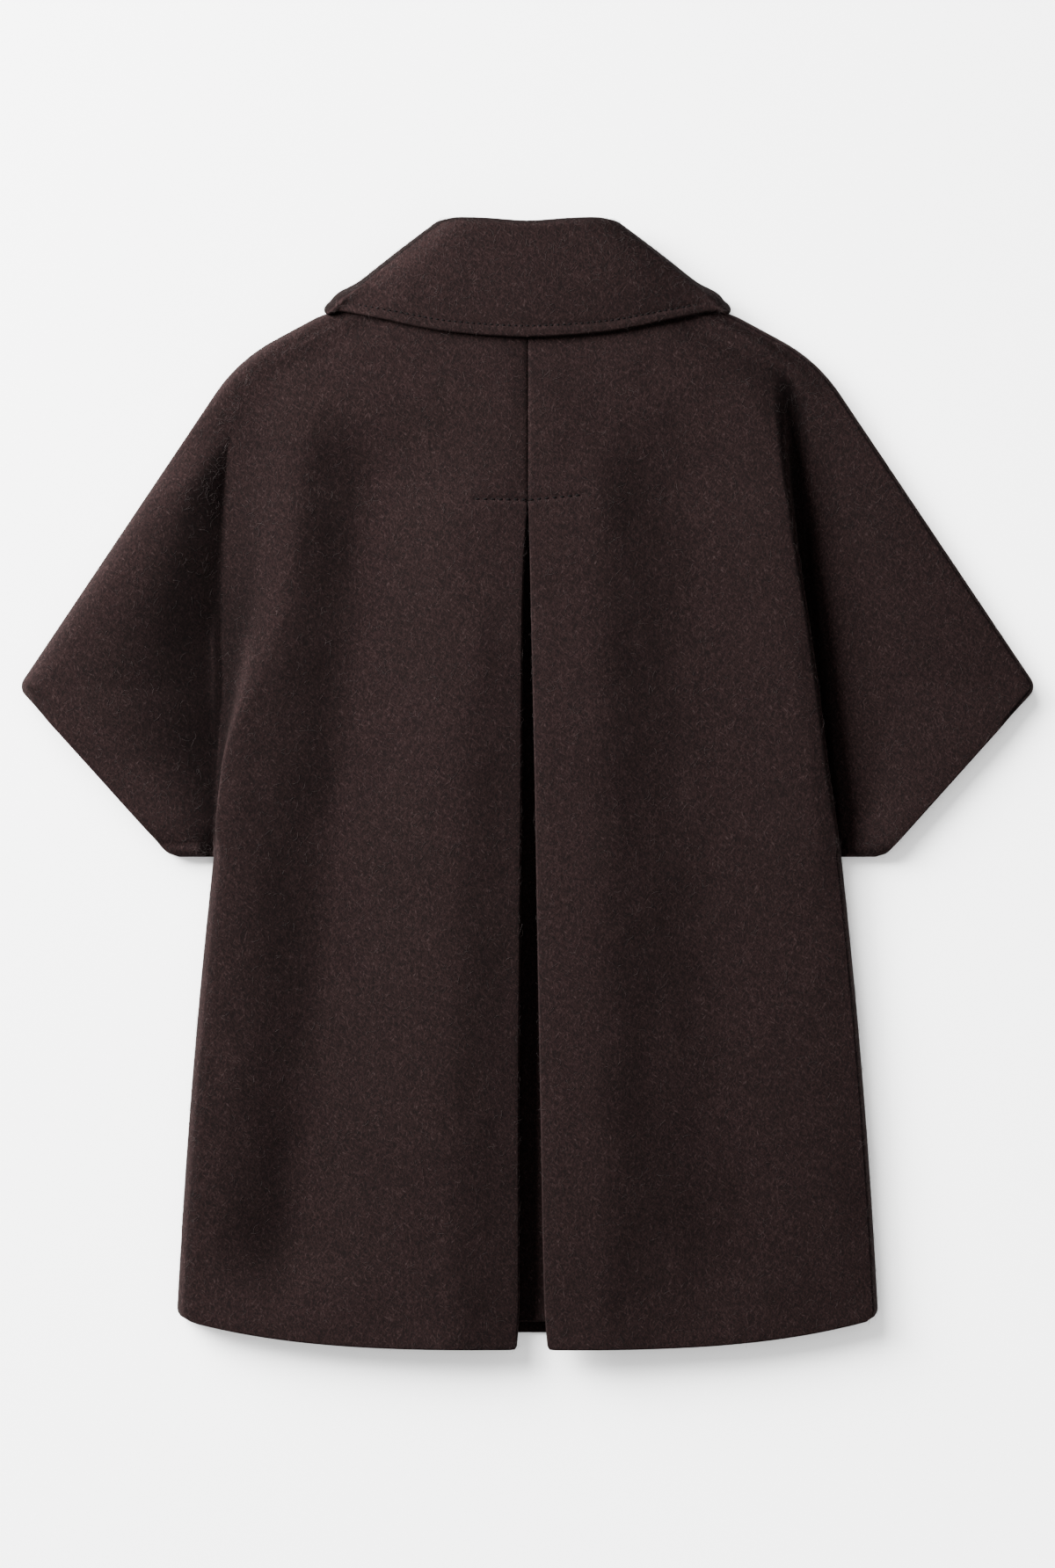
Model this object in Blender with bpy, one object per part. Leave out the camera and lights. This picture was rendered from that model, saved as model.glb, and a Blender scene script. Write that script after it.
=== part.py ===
"""Short wool coat laid flat on its fronts, back up.

Each cut piece is one closed wall of cloth. Sizes are in millimetres and turned to metres
when a mesh is made. X runs across the coat, Y towards the collar, Z up from the surface it
lies on. Panels are worked out for one half, with x as the distance from the centre line,
and the left half is turned over.
"""

from collections import namedtuple

import bpy
import numpy as np

MM = 0.001

# Cloth
CLOTH = 2.6            # one ply of felted wool
COLLAR_WALL = 4.0      # two plies sewn together
SEAM_GAP = 0.3         # between pieces that are sewn to each other
COLLAR_SEAM_GAP = 0.45 # more at the curved front neck
WOOL_COLOUR = (0.036, 0.026, 0.023, 1.0)
WOOL_ROUGHNESS = 0.95
SHARP_ANGLE = 50.0     # edges that turn more than this are shaded sharp

# Lengths along Y
NECK_Y = 391.5         # seam of back and collar
PLEAT_HEAD_Y = 220.6   # cross stitching, where the pleat opens
PLEAT_FLAP_Y = PLEAT_HEAD_Y - SEAM_GAP
UNDERARM_Y = -56.9
HEM_Y = -440.8         # lowest point of the back's hem
FRONT_HEM_RISE = 14.0  # the fronts end this much higher at the centre
SIDE_HEM_RISE = 25.5   # every hem rises to this at the side seams
HEM_BEND = 120.0       # rows bend to the hem's curve over this length
CROSSWISE_Y = -80.0    # below this the wall's thickness is measured along X and Z alone
UNDERLAY_TOP_Y = 225.0
UNDERLAY_HEM_Y = -419.5

# Widths along X
UNDERARM_X = 244.9
HEM_X = 271.6
SIDE_BOW = 1.8
HEM_CORNER = 8.0
FRONT_NECK_X = 95.0
FRONT_NECK_TOP_Y = 393.8
FRONT_NECK_DEPTH = 63.0
FRONT_SLEEVE_SLANT = 0.35   # a front's sleeve columns start on a line leaning from the underarm
FRONT_BODY_LEAST = 0.3      # but leave the body at least this share of its width
FRONT_BODY_MOST = 0.9       # and at most this one
PLEAT_DEPTH = 41.0
PLEAT_ROLL = 3.4       # outer radius of the pleat's folded edge

# Heights
CROWN = 24.5           # outer face of the back along the centre
SIDE_FALL = 3.0        # lower by this at the sides
SEAM_Z = 7.5           # seams of back and front stand this far off the surface
FRONT_ROLL = 7.0       # fronts turn up to their seams over this width
FRONT_ROLL_SHARE = 0.3 # or over this share of a narrow strip
SIDE_ROLL = 12.0       # the back turns down to the side seam over this width
OVERARM_ROLL = 8.0     # and to the overarm seam over this width
SLEEVE_ROLL_SHARE = 0.6     # or over this share of a narrow sleeve
UNDERARM_ROLL = 12.0
UNDERLAY_SAG = 11.0    # the underlay hangs this far into the coat between its flaps
UNDERLAY_SAG_SHARE = 0.34   # half width of that trough as a share of the underlay
UNDERLAY_SAG_TOP_Y = 215.0  # it starts here
UNDERLAY_SAG_FULL_Y = 90.0  # and is at full depth here
UNDERLAY_GAP = 0.5     # between the underlay and the flaps
UNDERLAY_BLEND = 15.0  # half width over which the two backs' heights blend
FRONT_LIFT = 5.2       # fronts lie over the collar's front leaves

# The fronts' raised patch over the collar leaves, as an ellipse
LIFT_Y = 372.0
LIFT_HALF_X = 165.0
LIFT_HALF_Y = 120.0
LIFT_INSIDE = 1.05     # full height within this multiple of the ellipse
LIFT_OUTSIDE = 1.4     # flat outside this one
SEAM_TURNS_Y = 365.0   # above this the shoulder seam flattens out towards the neck
SEAM_LEVEL_Y = 385.0   # and lies level here

Corner = namedtuple("Corner", "x y radius")
SLEEVE_OUTLINE = [
    Corner(95.0, 393.5, 0.0),      # neck end of the shoulder seam
    Corner(160.0, 363.7, 60.0),    # where it comes out from under the collar
    Corner(223.9, 329.7, 105.0),   # shoulder point
    Corner(395.0, 74.9, 9.0),      # overarm end of the cuff
    Corner(276.3, -56.9, 8.0),     # underarm end of the cuff
    Corner(244.9, -56.9, 0.0),
]

# Where the body folds over the sleeve: distance of the fold's edge, how far the cloth turns
# there, and the length of cloth in the fold
Fold = namedtuple("Fold", "y edge_left edge_right turn_left turn_right cloth")
SIDE_FOLD = [
    Fold(396.0, 60.0, 60.0, 0.0, 0.0, 24.0),
    Fold(366.0, 115.0, 115.0, 0.0, 0.0, 30.0),
    Fold(340.0, 166.0, 164.0, 0.0, 0.0, 30.0),
    Fold(316.0, 204.0, 196.0, 8.0, 6.0, 30.0),
    Fold(290.0, 220.0, 202.0, 18.0, 12.0, 30.0),
    Fold(252.0, 224.0, 203.5, 30.0, 22.0, 30.0),
    Fold(177.0, 221.0, 212.0, 68.0, 50.0, 30.0),
    Fold(118.0, 225.7, 221.2, 100.0, 105.0, 30.0),
    Fold(74.0, 231.2, 227.1, 120.0, 130.0, 30.0),
    Fold(14.0, 238.7, 234.5, 130.0, 140.0, 28.0),
    Fold(-57.0, 245.6, 245.0, 135.0, 140.0, 22.0),
]
FOLD_ENDS_Y = -30.0    # below this the fold opens into the body's side

# Half width of the pleat's gap on each side of the centre line
Gap = namedtuple("Gap", "y left right")
PLEAT_GAP = [
    Gap(396.0, 0.15, 0.15),
    Gap(206.0, 0.15, 0.15),
    Gap(126.0, 4.2, 2.6),
    Gap(-11.0, 4.9, 5.8),
    Gap(-126.0, 5.8, 7.7),
    Gap(-268.0, 6.7, 10.3),
    Gap(-400.0, 6.5, 12.9),
    Gap(-440.8, 8.2, 15.4),
]

# Soft lengthwise ridges (rise above zero) and troughs (below) of the back
Ridge = namedtuple("Ridge", "x_top x_foot y_top y_foot half_width rise")
DRAPE = {
    "left": [
        Ridge(108.0, 190.0, 300.0, -430.0, 40.0, -5.0),
        Ridge(72.0, 96.0, 290.0, -520.0, 40.0, 2.6),
        Ridge(214.0, 246.0, 320.0, -110.0, 22.0, 3.4),
    ],
    "right": [
        Ridge(122.0, 152.0, 300.0, -410.0, 38.0, -4.2),
        Ridge(48.0, 52.0, 300.0, -520.0, 26.0, 1.6),
        Ridge(198.0, 246.0, 320.0, -110.0, 22.0, 3.4),
    ],
}
DRAPE_FADE = 80.0

# Height of the sleeve's back just before its outer edge
Height = namedtuple("Height", "y z")
SLEEVE_EDGE = [
    Height(396.0, 22.0),
    Height(345.0, 20.0),
    Height(290.0, 18.0),
    Height(77.0, 15.0),
    Height(-57.0, 14.5),
]
CUFF_OPENS_Y = 86.0    # the overarm seam ends here
CUFF_OPEN_Y = 40.0     # and the cuff stands fully open here

# Collar sections from the centre back round to the front end: seam with the neck, centre of
# the roll and outer edge. facing turns the fall's face from straight up, lean turns the top
# of the roll from +Y to the centre line, both in degrees
Section = namedtuple(
    "Section", "facing lean seam_x seam_y seam_z roll_x roll_y roll_z edge_x edge_y edge_z")
COLLAR_SECTIONS = [
    Section(0, 0, 0, 391.9, 23.2, 0, 431.8, 27.4, 0, 348.6, 28.6),
    Section(0, 0, 50, 391.9, 23.0, 32, 433.9, 27.4, 64, 353.0, 28.4),
    Section(0, 10, 82, 391.9, 22.6, 54, 434.2, 27.0, 113, 362.6, 27.8),
    Section(25, 32, 92, 393.0, 20.5, 64, 432.0, 25.0, 147, 370.3, 26.4),
    Section(90, 52, 96, 394.5, 14.0, 69, 430.0, 16.4, 154, 371.6, 15.0),
    Section(155, 57, 92, 393.5, 9.5, 63, 427.0, 7.4, 149, 367.8, 2.8),
    Section(180, 52, 82, 362.5, 7.4, 48, 408.0, 6.6, 134, 346.0, 2.1),
    Section(180, 50, 50, 341.5, 7.4, 27, 377.0, 6.6, 112, 307.0, 2.1),
    Section(180, 50, 4, 324.0, 7.4, 6, 352.0, 6.6, 88, 273.0, 2.1),
]
COLLAR_ROLL = 4.5      # radius of the collar's roll at the middle of its wall
COLLAR_CROWN = 1.2     # the fall swells by this between roll and edge
COLLAR_OUTWARD = (0.61, 0.79)    # the way the roll faces where it turns under
COLLAR_TURNED = 160.0  # facing past which the collar is its front leaf
COLLAR_LEAST_Z = 0.05  # clear of the surface by this

# Rows shared by backs and fronts, from the neck down: start, end and number of steps
Run = namedtuple("Run", "start end steps")
ROW_RUNS = [
    Run(NECK_Y, 336.0, 4),
    Run(336.0, 308.0, 2),
    Run(308.0, PLEAT_HEAD_Y, 3),
    Run(PLEAT_HEAD_Y, PLEAT_FLAP_Y, 1),
    Run(PLEAT_FLAP_Y, 206.0, 1),
    Run(206.0, 92.0, 3),
    Run(92.0, 68.0, 4),
    Run(68.0, -36.0, 3),
    Run(-36.0, UNDERARM_Y, 4),
    Run(UNDERARM_Y, -62.0, 1),
    Run(-62.0, -412.0, 7),
    Run(-412.0, -432.0, 2),
    Run(-432.0, -438.0, 2),
    Run(-438.0, HEM_Y, 2),
]

ROW_SLACK = 1e-6       # rows are compared with a named height to within this

# Number of steps across each stretch of a panel
FLAP_STEPS = 1
ROLL_STEPS = 5
BACK_STEPS = 7
FOLD_STEPS = 8
SLEEVE_STEPS = 3
EDGE_STEPS = 4
FRONT_STEPS = 3
UNDERLAY_STEPS = 8
COLLAR_STEPS = 2       # between sections
STAND_STEPS = 2
COLLAR_ROLL_STEPS = 6
FALL_STEPS = 4


def smooth(start, end, value):
    """Soft step from 0 at start to 1 at end."""
    t = np.clip((value - start) / (end - start), 0.0, 1.0)
    return t * t * (3.0 - 2.0 * t)


def read(rows, name, y):
    """Column of a table that runs down Y, read at the heights y."""
    heights = [row.y for row in reversed(rows)]
    values = [getattr(row, name) for row in reversed(rows)]
    return np.interp(y, heights, values)


def rounded(corners, steps=8):
    """Path through corners, each turned by an arc of its radius."""
    path = [np.array(corners[0][:2])]
    for before, corner, after in zip(corners, corners[1:], corners[2:]):
        point = np.array(corner[:2])
        back = np.array(before[:2]) - point
        ahead = np.array(after[:2]) - point
        back /= np.linalg.norm(back)
        ahead /= np.linalg.norm(ahead)
        half = 0.5 * np.arccos(np.dot(back, ahead))
        centre = point + (back + ahead) / np.linalg.norm(back + ahead) * corner.radius / np.sin(half)
        start = point + back * corner.radius / np.tan(half) - centre
        end = point + ahead * corner.radius / np.tan(half) - centre
        sweep = np.pi - 2.0 * half
        for t in np.linspace(0.0, 1.0, steps + 1):
            arm = (np.sin((1.0 - t) * sweep) * start + np.sin(t * sweep) * end) / np.sin(sweep)
            path.append(centre + arm)
    return np.array(path)


SLEEVE_PATH = rounded(SLEEVE_OUTLINE)[::-1]


def sleeve_edge_x(y):
    """Overarm and cuff outline: distance from the centre line."""
    return np.interp(y, SLEEVE_PATH[:, 1], SLEEVE_PATH[:, 0])


def hem_weight(y):
    """How far a row has bent to the hem's curve."""
    return smooth(HEM_Y + HEM_BEND, HEM_Y, y)


def hem_rise(x, centre_rise):
    """Hem above its lowest level: rises with the cube of the distance from the centre."""
    return centre_rise + (SIDE_HEM_RISE - centre_rise) * (x / HEM_X) ** 3


def side_edge_x(y):
    """Side outline below the underarm, and how much the rounded hem corner takes off it."""
    rise = hem_rise(HEM_X - 0.5 * HEM_CORNER, 0.0)
    level = y + rise * hem_weight(y)
    t = np.clip((UNDERARM_Y - level) / (UNDERARM_Y - HEM_Y - SIDE_HEM_RISE), 0.0, 1.0)
    x = UNDERARM_X + (HEM_X - UNDERARM_X) * t + 4.0 * SIDE_BOW * t * (1.0 - t)
    into = np.clip(HEM_CORNER - (level - HEM_Y - rise), 0.0, HEM_CORNER)
    return x, HEM_CORNER - np.sqrt(HEM_CORNER ** 2 - into ** 2)


def front_lift(x, y):
    """Height of the fronts' underside: raised over the collar leaves, zero elsewhere."""
    reach = np.hypot(x / LIFT_HALF_X, (y - LIFT_Y) / LIFT_HALF_Y)
    return FRONT_LIFT * smooth(LIFT_OUTSIDE, LIFT_INSIDE, reach)


def seam_turn(y):
    """How far the fronts turn up to their seams: fully, but for the shoulder beside the neck."""
    return smooth(SEAM_LEVEL_Y, SEAM_TURNS_Y, y)


def seam_height(x, y):
    """Height of the backs' edges at the seams that join them to the fronts."""
    lying = CLOTH + SEAM_GAP
    return front_lift(x, y) + lying + (SEAM_Z - lying) * seam_turn(y)


def front_neck_x(y):
    """Distance of the fronts' neck edge, a quarter ellipse down to the centre front."""
    into = np.clip((FRONT_NECK_TOP_Y - y) / FRONT_NECK_DEPTH, 0.0, 1.0)
    return np.maximum(FRONT_NECK_X * np.sqrt(1.0 - into ** 2), SEAM_GAP / 2.0)


def back_height(x, y, side):
    """Outer face of the back: a low crown with soft lengthwise ridges and troughs."""
    z = CROWN - SIDE_FALL * (x / UNDERARM_X) ** 2
    for ridge in DRAPE[side]:
        along = np.clip((ridge.y_top - y) / (ridge.y_top - ridge.y_foot), 0.0, 1.0)
        centre = ridge.x_top + (ridge.x_foot - ridge.x_top) * along
        fade = smooth(ridge.y_top, ridge.y_top - DRAPE_FADE, y)
        fade = fade * smooth(ridge.y_foot, ridge.y_foot + DRAPE_FADE, y)
        z = z + ridge.rise * fade * np.exp(-((x - centre) / ridge.half_width) ** 2)
    return z


def row_heights():
    """Heights of the shared rows, each run's end being the next one's start."""
    heights = [ROW_RUNS[0].start]
    for run in ROW_RUNS:
        heights.extend(np.linspace(run.start, run.end, run.steps + 1)[1:])
    return np.array(heights)


def fold_profile(turn, cloth):
    """Fold in section: the cloth's angle swings from level down by turn and back to level."""
    fine = 8
    s = np.linspace(0.0, 1.0, FOLD_STEPS * fine + 1)
    angle = -turn[:, None] * (1.0 - np.cos(2.0 * np.pi * s)) / 2.0
    step = cloth[:, None] / (len(s) - 1)
    across = (np.cos(angle[:, 1:]) + np.cos(angle[:, :-1])) / 2.0 * step
    down = (np.sin(angle[:, 1:]) + np.sin(angle[:, :-1])) / 2.0 * step
    start = np.zeros((len(turn), 1))
    x = np.hstack([start, np.cumsum(across, axis=1)])
    z = np.hstack([start, np.cumsum(down, axis=1)])
    edge = x[:, :len(s) // 2 + 1].max(axis=1)
    return x[:, ::fine], z[:, ::fine], edge


def quarter_turn(steps):
    """Across and height shares of a rounded edge."""
    angle = np.linspace(0.0, 0.5 * np.pi, steps + 1)
    return np.sin(angle), np.cos(angle)


def edge_shares(across, closed):
    """Shares across an edge: even where it is open, those of the rounded edge where it is sewn."""
    even = np.linspace(0.0, 1.0, len(across))
    return even + (across - even) * closed


def back_panel(side):
    """Grid of a back: pleat flap, pleat roll, back, fold or side wall, sleeve and its edge."""
    y = row_heights()[:, None]
    level = y[:, 0]
    below_head = level <= PLEAT_FLAP_Y + ROW_SLACK
    has_sleeve = level >= UNDERARM_Y - ROW_SLACK

    # Fold to the sleeve, and the line where the back starts to turn
    turn = np.radians(read(SIDE_FOLD, "turn_" + side, level))
    fold_x, fold_z, fold_edge = fold_profile(turn, read(SIDE_FOLD, "cloth", level))
    start_fold = read(SIDE_FOLD, "edge_" + side, level) - fold_edge
    side_x, corner = side_edge_x(y)
    start_side = side_x - SIDE_ROLL - 0.5 * corner
    opened = smooth(FOLD_ENDS_Y, UNDERARM_Y, y)
    start = start_fold[:, None] * (1.0 - opened) + start_side * opened
    start_z = back_height(start, y, side)

    # Pleat: flap, then the roll up to the back's face
    gap = read(PLEAT_GAP, side, level)[:, None]
    inner = np.where(below_head[:, None], gap + PLEAT_ROLL, gap)
    flap_share = np.linspace(1.0, 0.0, FLAP_STEPS + 1)[:-1]
    flap_x = inner + (PLEAT_DEPTH - PLEAT_ROLL) * flap_share
    flap_z = back_height(flap_x, y, side) - 2.0 * PLEAT_ROLL
    roll_angle = np.linspace(np.pi, 0.0, ROLL_STEPS + 1)[:-1]
    roll_x = inner - PLEAT_ROLL * np.sin(roll_angle)
    roll_z = back_height(inner, y, side) - PLEAT_ROLL * (1.0 - np.cos(roll_angle))

    # Back proper
    back_x = inner + (start - inner) * np.linspace(0.0, 1.0, BACK_STEPS + 1)[:-1]
    back_z = back_height(back_x, y, side)

    # Fold beside the sleeve, side wall below the underarm
    across, height = quarter_turn(FOLD_STEPS)
    side_seam = seam_height(side_x, y)
    side_x = start + (side_x - corner - start_side) * across
    side_z = side_seam + (start_z - side_seam) * height
    turn_x = (start + fold_x) * (1.0 - opened) + side_x * opened
    turn_z = (start_z + fold_z) * (1.0 - opened) + side_z * opened

    # Sleeve, from the foot of the fold to the overarm seam or the cuff
    foot_x = turn_x[:, -1:]
    foot_z = turn_z[:, -1:]
    edge_x = sleeve_edge_x(y)
    slope = np.gradient(edge_x[:, 0], level)[:, None]
    width = np.maximum(edge_x - foot_x, 1.0)
    roll = np.minimum(OVERARM_ROLL * np.hypot(1.0, slope), SLEEVE_ROLL_SHARE * width)
    sleeve_share = np.linspace(0.0, 1.0, SLEEVE_STEPS + 1)[1:]
    sleeve_x = foot_x + (edge_x - roll - foot_x) * sleeve_share
    edge_top = read(SLEEVE_EDGE, "z", level)[:, None]
    sleeve_z = foot_z + (edge_top - foot_z) * smooth(0.0, 1.0, sleeve_share)
    across, height = quarter_turn(EDGE_STEPS)
    closed = smooth(CUFF_OPEN_Y, CUFF_OPENS_Y, y)
    seam = seam_height(edge_x, y)
    edge_foot = seam + (edge_top - seam) * (1.0 - closed)
    rim_x = edge_x - roll + roll * edge_shares(across, closed)[:, 1:]
    rim_z = edge_foot + (edge_top - edge_foot) * height[1:]

    # The sleeve's last rows turn down to the underarm seam
    into = np.clip((y - UNDERARM_Y) / UNDERARM_ROLL, 0.0, 1.0)
    turned = np.sqrt(1.0 - (1.0 - into) ** 2)
    sleeve_x = np.hstack([sleeve_x, rim_x])
    sleeve_z = np.hstack([sleeve_z, rim_z])
    sleeve_z = seam + (sleeve_z - seam) * turned

    x = np.hstack([flap_x, roll_x, back_x, turn_x, sleeve_x])
    z = np.hstack([flap_z, roll_z, back_z, turn_z, sleeve_z])
    y = y + hem_rise(x, 0.0) * hem_weight(y)

    pleat_columns = FLAP_STEPS + ROLL_STEPS
    body_columns = pleat_columns + BACK_STEPS + FOLD_STEPS
    upright = np.zeros_like(x)
    upright[:, body_columns] = opened[:, 0]
    upright[has_sleeve, -1] = closed[has_sleeve, 0]
    underarm_row = np.flatnonzero(has_sleeve)[-1]
    upright[underarm_row, body_columns + 1:] = 1.0
    valid = np.ones((len(level) - 1, x.shape[1] - 1), bool)
    valid[~below_head[:-1], :pleat_columns] = False
    valid[~has_sleeve[1:], body_columns:] = False
    return np.stack([x, y, z], axis=-1), valid, upright


def front_panel():
    """Grid of a front: flat on the surface, turned up at its seams, with its half of the sleeve."""
    y = row_heights()[:, None]
    level = y[:, 0]
    has_sleeve = level >= UNDERARM_Y - ROW_SLACK
    inner = front_neck_x(y)

    edge_x = sleeve_edge_x(y)
    side_x, corner = side_edge_x(y)
    width = edge_x - inner
    sleeve_line = UNDERARM_X - FRONT_SLEEVE_SLANT * (y - UNDERARM_Y)
    sleeve_line = np.clip(sleeve_line, inner + FRONT_BODY_LEAST * width, inner + FRONT_BODY_MOST * width)
    body_edge = np.where(has_sleeve[:, None], sleeve_line, side_x - corner)
    side_roll = np.minimum(FRONT_ROLL, FRONT_ROLL_SHARE * (body_edge - inner))
    flat_x = inner + (body_edge - side_roll - inner) * np.linspace(0.0, 1.0, FRONT_STEPS + 1)
    flat_z = front_lift(flat_x, y)
    across, height = quarter_turn(EDGE_STEPS)
    sewn = np.where(has_sleeve, 0.0, 1.0)[:, None]
    side_x = body_edge - side_roll + side_roll * edge_shares(across, sewn)[:, 1:]
    rim_top = SEAM_Z - SEAM_GAP
    profile = (1.0 - height[1:]) * rim_top
    side_z = np.where(has_sleeve[:, None], front_lift(side_x, y), profile)

    slope = np.gradient(edge_x[:, 0], level)[:, None]
    roll = np.minimum(FRONT_ROLL * np.hypot(1.0, slope), SLEEVE_ROLL_SHARE * (edge_x - body_edge))
    sleeve_x = body_edge + (edge_x - roll - body_edge) * np.linspace(0.0, 1.0, FRONT_STEPS + 1)[1:]
    closed = smooth(CUFF_OPEN_Y, CUFF_OPENS_Y, y)
    rim_x = edge_x - roll + roll * edge_shares(across, closed)[:, 1:]
    sleeve_z = front_lift(sleeve_x, y)
    rim_z = front_lift(rim_x, y) + profile * closed * seam_turn(y)
    sleeve_x = np.hstack([sleeve_x, rim_x])
    sleeve_z = np.hstack([sleeve_z, rim_z])
    into = np.clip((y - UNDERARM_Y) / FRONT_ROLL, 0.0, 1.0)
    turned = np.sqrt(1.0 - (1.0 - into) ** 2)
    sleeve_z = np.maximum(sleeve_z, rim_top * (1.0 - turned))

    x = np.hstack([flat_x, side_x, sleeve_x])
    z = np.hstack([flat_z, side_z, sleeve_z])
    y = y + hem_rise(x, FRONT_HEM_RISE) * hem_weight(y)

    body_columns = FRONT_STEPS + EDGE_STEPS
    upright = np.zeros_like(x)
    upright[~has_sleeve, body_columns] = 1.0
    upright[has_sleeve, -1] = (closed * seam_turn(level[:, None]))[has_sleeve, 0]
    underarm_row = np.flatnonzero(has_sleeve)[-1]
    upright[underarm_row, body_columns + 1:] = 1.0
    valid = np.ones((len(level) - 1, x.shape[1] - 1), bool)
    valid[~has_sleeve[1:], body_columns:] = False
    return np.stack([x, y, z], axis=-1), valid, upright


def underlay_panel():
    """Grid of the pleat underlay: flat under both flaps, sagging into the coat between them."""
    level = row_heights()
    level = level[(level < UNDERLAY_TOP_Y) & (level > UNDERLAY_HEM_Y)]
    level = np.concatenate([[UNDERLAY_TOP_Y], level[level < PLEAT_FLAP_Y], [UNDERLAY_HEM_Y]])
    y = level[:, None]
    left = -read(PLEAT_GAP, "left", y) - PLEAT_DEPTH
    right = read(PLEAT_GAP, "right", y) + PLEAT_DEPTH
    share = np.linspace(0.0, 1.0, UNDERLAY_STEPS + 1)
    x = left + (right - left) * share
    sides = smooth(-UNDERLAY_BLEND, UNDERLAY_BLEND, x)
    over = back_height(np.abs(x), y, "left") * (1.0 - sides) + back_height(np.abs(x), y, "right") * sides
    off_centre = np.clip((share - 0.5) / UNDERLAY_SAG_SHARE, -1.0, 1.0)
    trough = (0.5 + 0.5 * np.cos(off_centre * np.pi)) * UNDERLAY_SAG
    sag = trough * smooth(UNDERLAY_SAG_TOP_Y, UNDERLAY_SAG_FULL_Y, y)
    z = over - 2.0 * PLEAT_ROLL - UNDERLAY_GAP - sag
    points = np.stack([x, y + 0.0 * x, z], axis=-1)
    valid = np.ones((len(level) - 1, UNDERLAY_STEPS), bool)
    return points, valid, np.zeros_like(x)


def through(values, steps):
    """Smooth curve through rows of values (a cubic between each pair), with steps to a pair."""
    padded = np.vstack([2 * values[0] - values[1], values, 2 * values[-1] - values[-2]])
    rows = []
    for before, start, end, after in zip(padded, padded[1:], padded[2:], padded[3:]):
        for t in np.arange(steps) / steps:
            bend = 2 * before - 5 * start + 4 * end - after
            twist = 3 * (start - end) + after - before
            rows.append(start + 0.5 * t * (end - before + t * (bend + t * twist)))
    rows.append(values[-1])
    return np.array(rows)


def collar_sheet():
    """Grid of the collar's middle surface: stand, roll and fall at every section round the neck."""
    half = np.array(COLLAR_SECTIONS, float)
    other = half[:0:-1].copy()
    mirror = np.ones(half.shape[1])
    mirror[[2, 5, 8]] = -1.0
    way = np.concatenate([-np.ones(len(other)), np.ones(len(half))])
    sections = through(np.vstack([other * mirror, half]), COLLAR_STEPS)
    sections[:, 0] = np.clip(sections[:, 0], 0.0, 180.0)
    way = np.interp(np.arange(len(sections)) / COLLAR_STEPS, np.arange(len(way)), way)
    facing, lean = np.radians(sections[:, 0]), np.radians(sections[:, 1])
    seam, roll, edge = sections[:, 2:5], sections[:, 5:8], sections[:, 8:11]

    # The front neck seam follows the fronts' own edge
    rows = row_heights()
    lowest = rows[rows < FRONT_NECK_TOP_Y - FRONT_NECK_DEPTH].max()
    rows = rows[rows >= lowest]
    front_seam = np.interp(np.abs(seam[:, 0]), front_neck_x(rows[::-1]), rows[::-1])
    in_front = facing > np.radians(COLLAR_TURNED)
    seam[:, 1] = np.where(in_front, front_seam + COLLAR_SEAM_GAP, seam[:, 1])

    face = np.stack([way * COLLAR_OUTWARD[0] * np.sin(facing),
                     COLLAR_OUTWARD[1] * np.sin(facing), np.cos(facing)], axis=-1)
    up = np.stack([-way * np.sin(lean), np.cos(lean), 0.0 * lean], axis=-1)

    swell = COLLAR_CROWN * face * (0.5 + 0.5 * np.cos(facing))[:, None]
    under = roll - COLLAR_ROLL * face
    over = roll + COLLAR_ROLL * face
    columns = [seam + (under - seam) * t for t in np.linspace(0.0, 1.0, STAND_STEPS + 1)[:-1]]
    for angle in np.linspace(0.0, np.pi, COLLAR_ROLL_STEPS + 1)[:-1]:
        columns.append(roll + COLLAR_ROLL * (up * np.sin(angle) - face * np.cos(angle)))
    for t in np.linspace(0.0, 1.0, FALL_STEPS + 1):
        columns.append(over + (edge - over) * t + swell * np.sin(np.pi * t))
    points = np.stack(columns, axis=1)
    points[..., 2] = np.maximum(points[..., 2], 0.5 * COLLAR_WALL + COLLAR_LEAST_Z)
    valid = np.ones((points.shape[0] - 1, points.shape[1] - 1), bool)
    return points, valid, np.zeros(points.shape[:2])


def wool():
    """Dark brown felted wool."""
    material = bpy.data.materials.new("dark_brown_wool")
    material.use_nodes = True
    shader = material.node_tree.nodes["Principled BSDF"]
    shader.inputs["Base Color"].default_value = WOOL_COLOUR
    shader.inputs["Roughness"].default_value = WOOL_ROUGHNESS
    shader.inputs["Metallic"].default_value = 0.0
    return material


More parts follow.
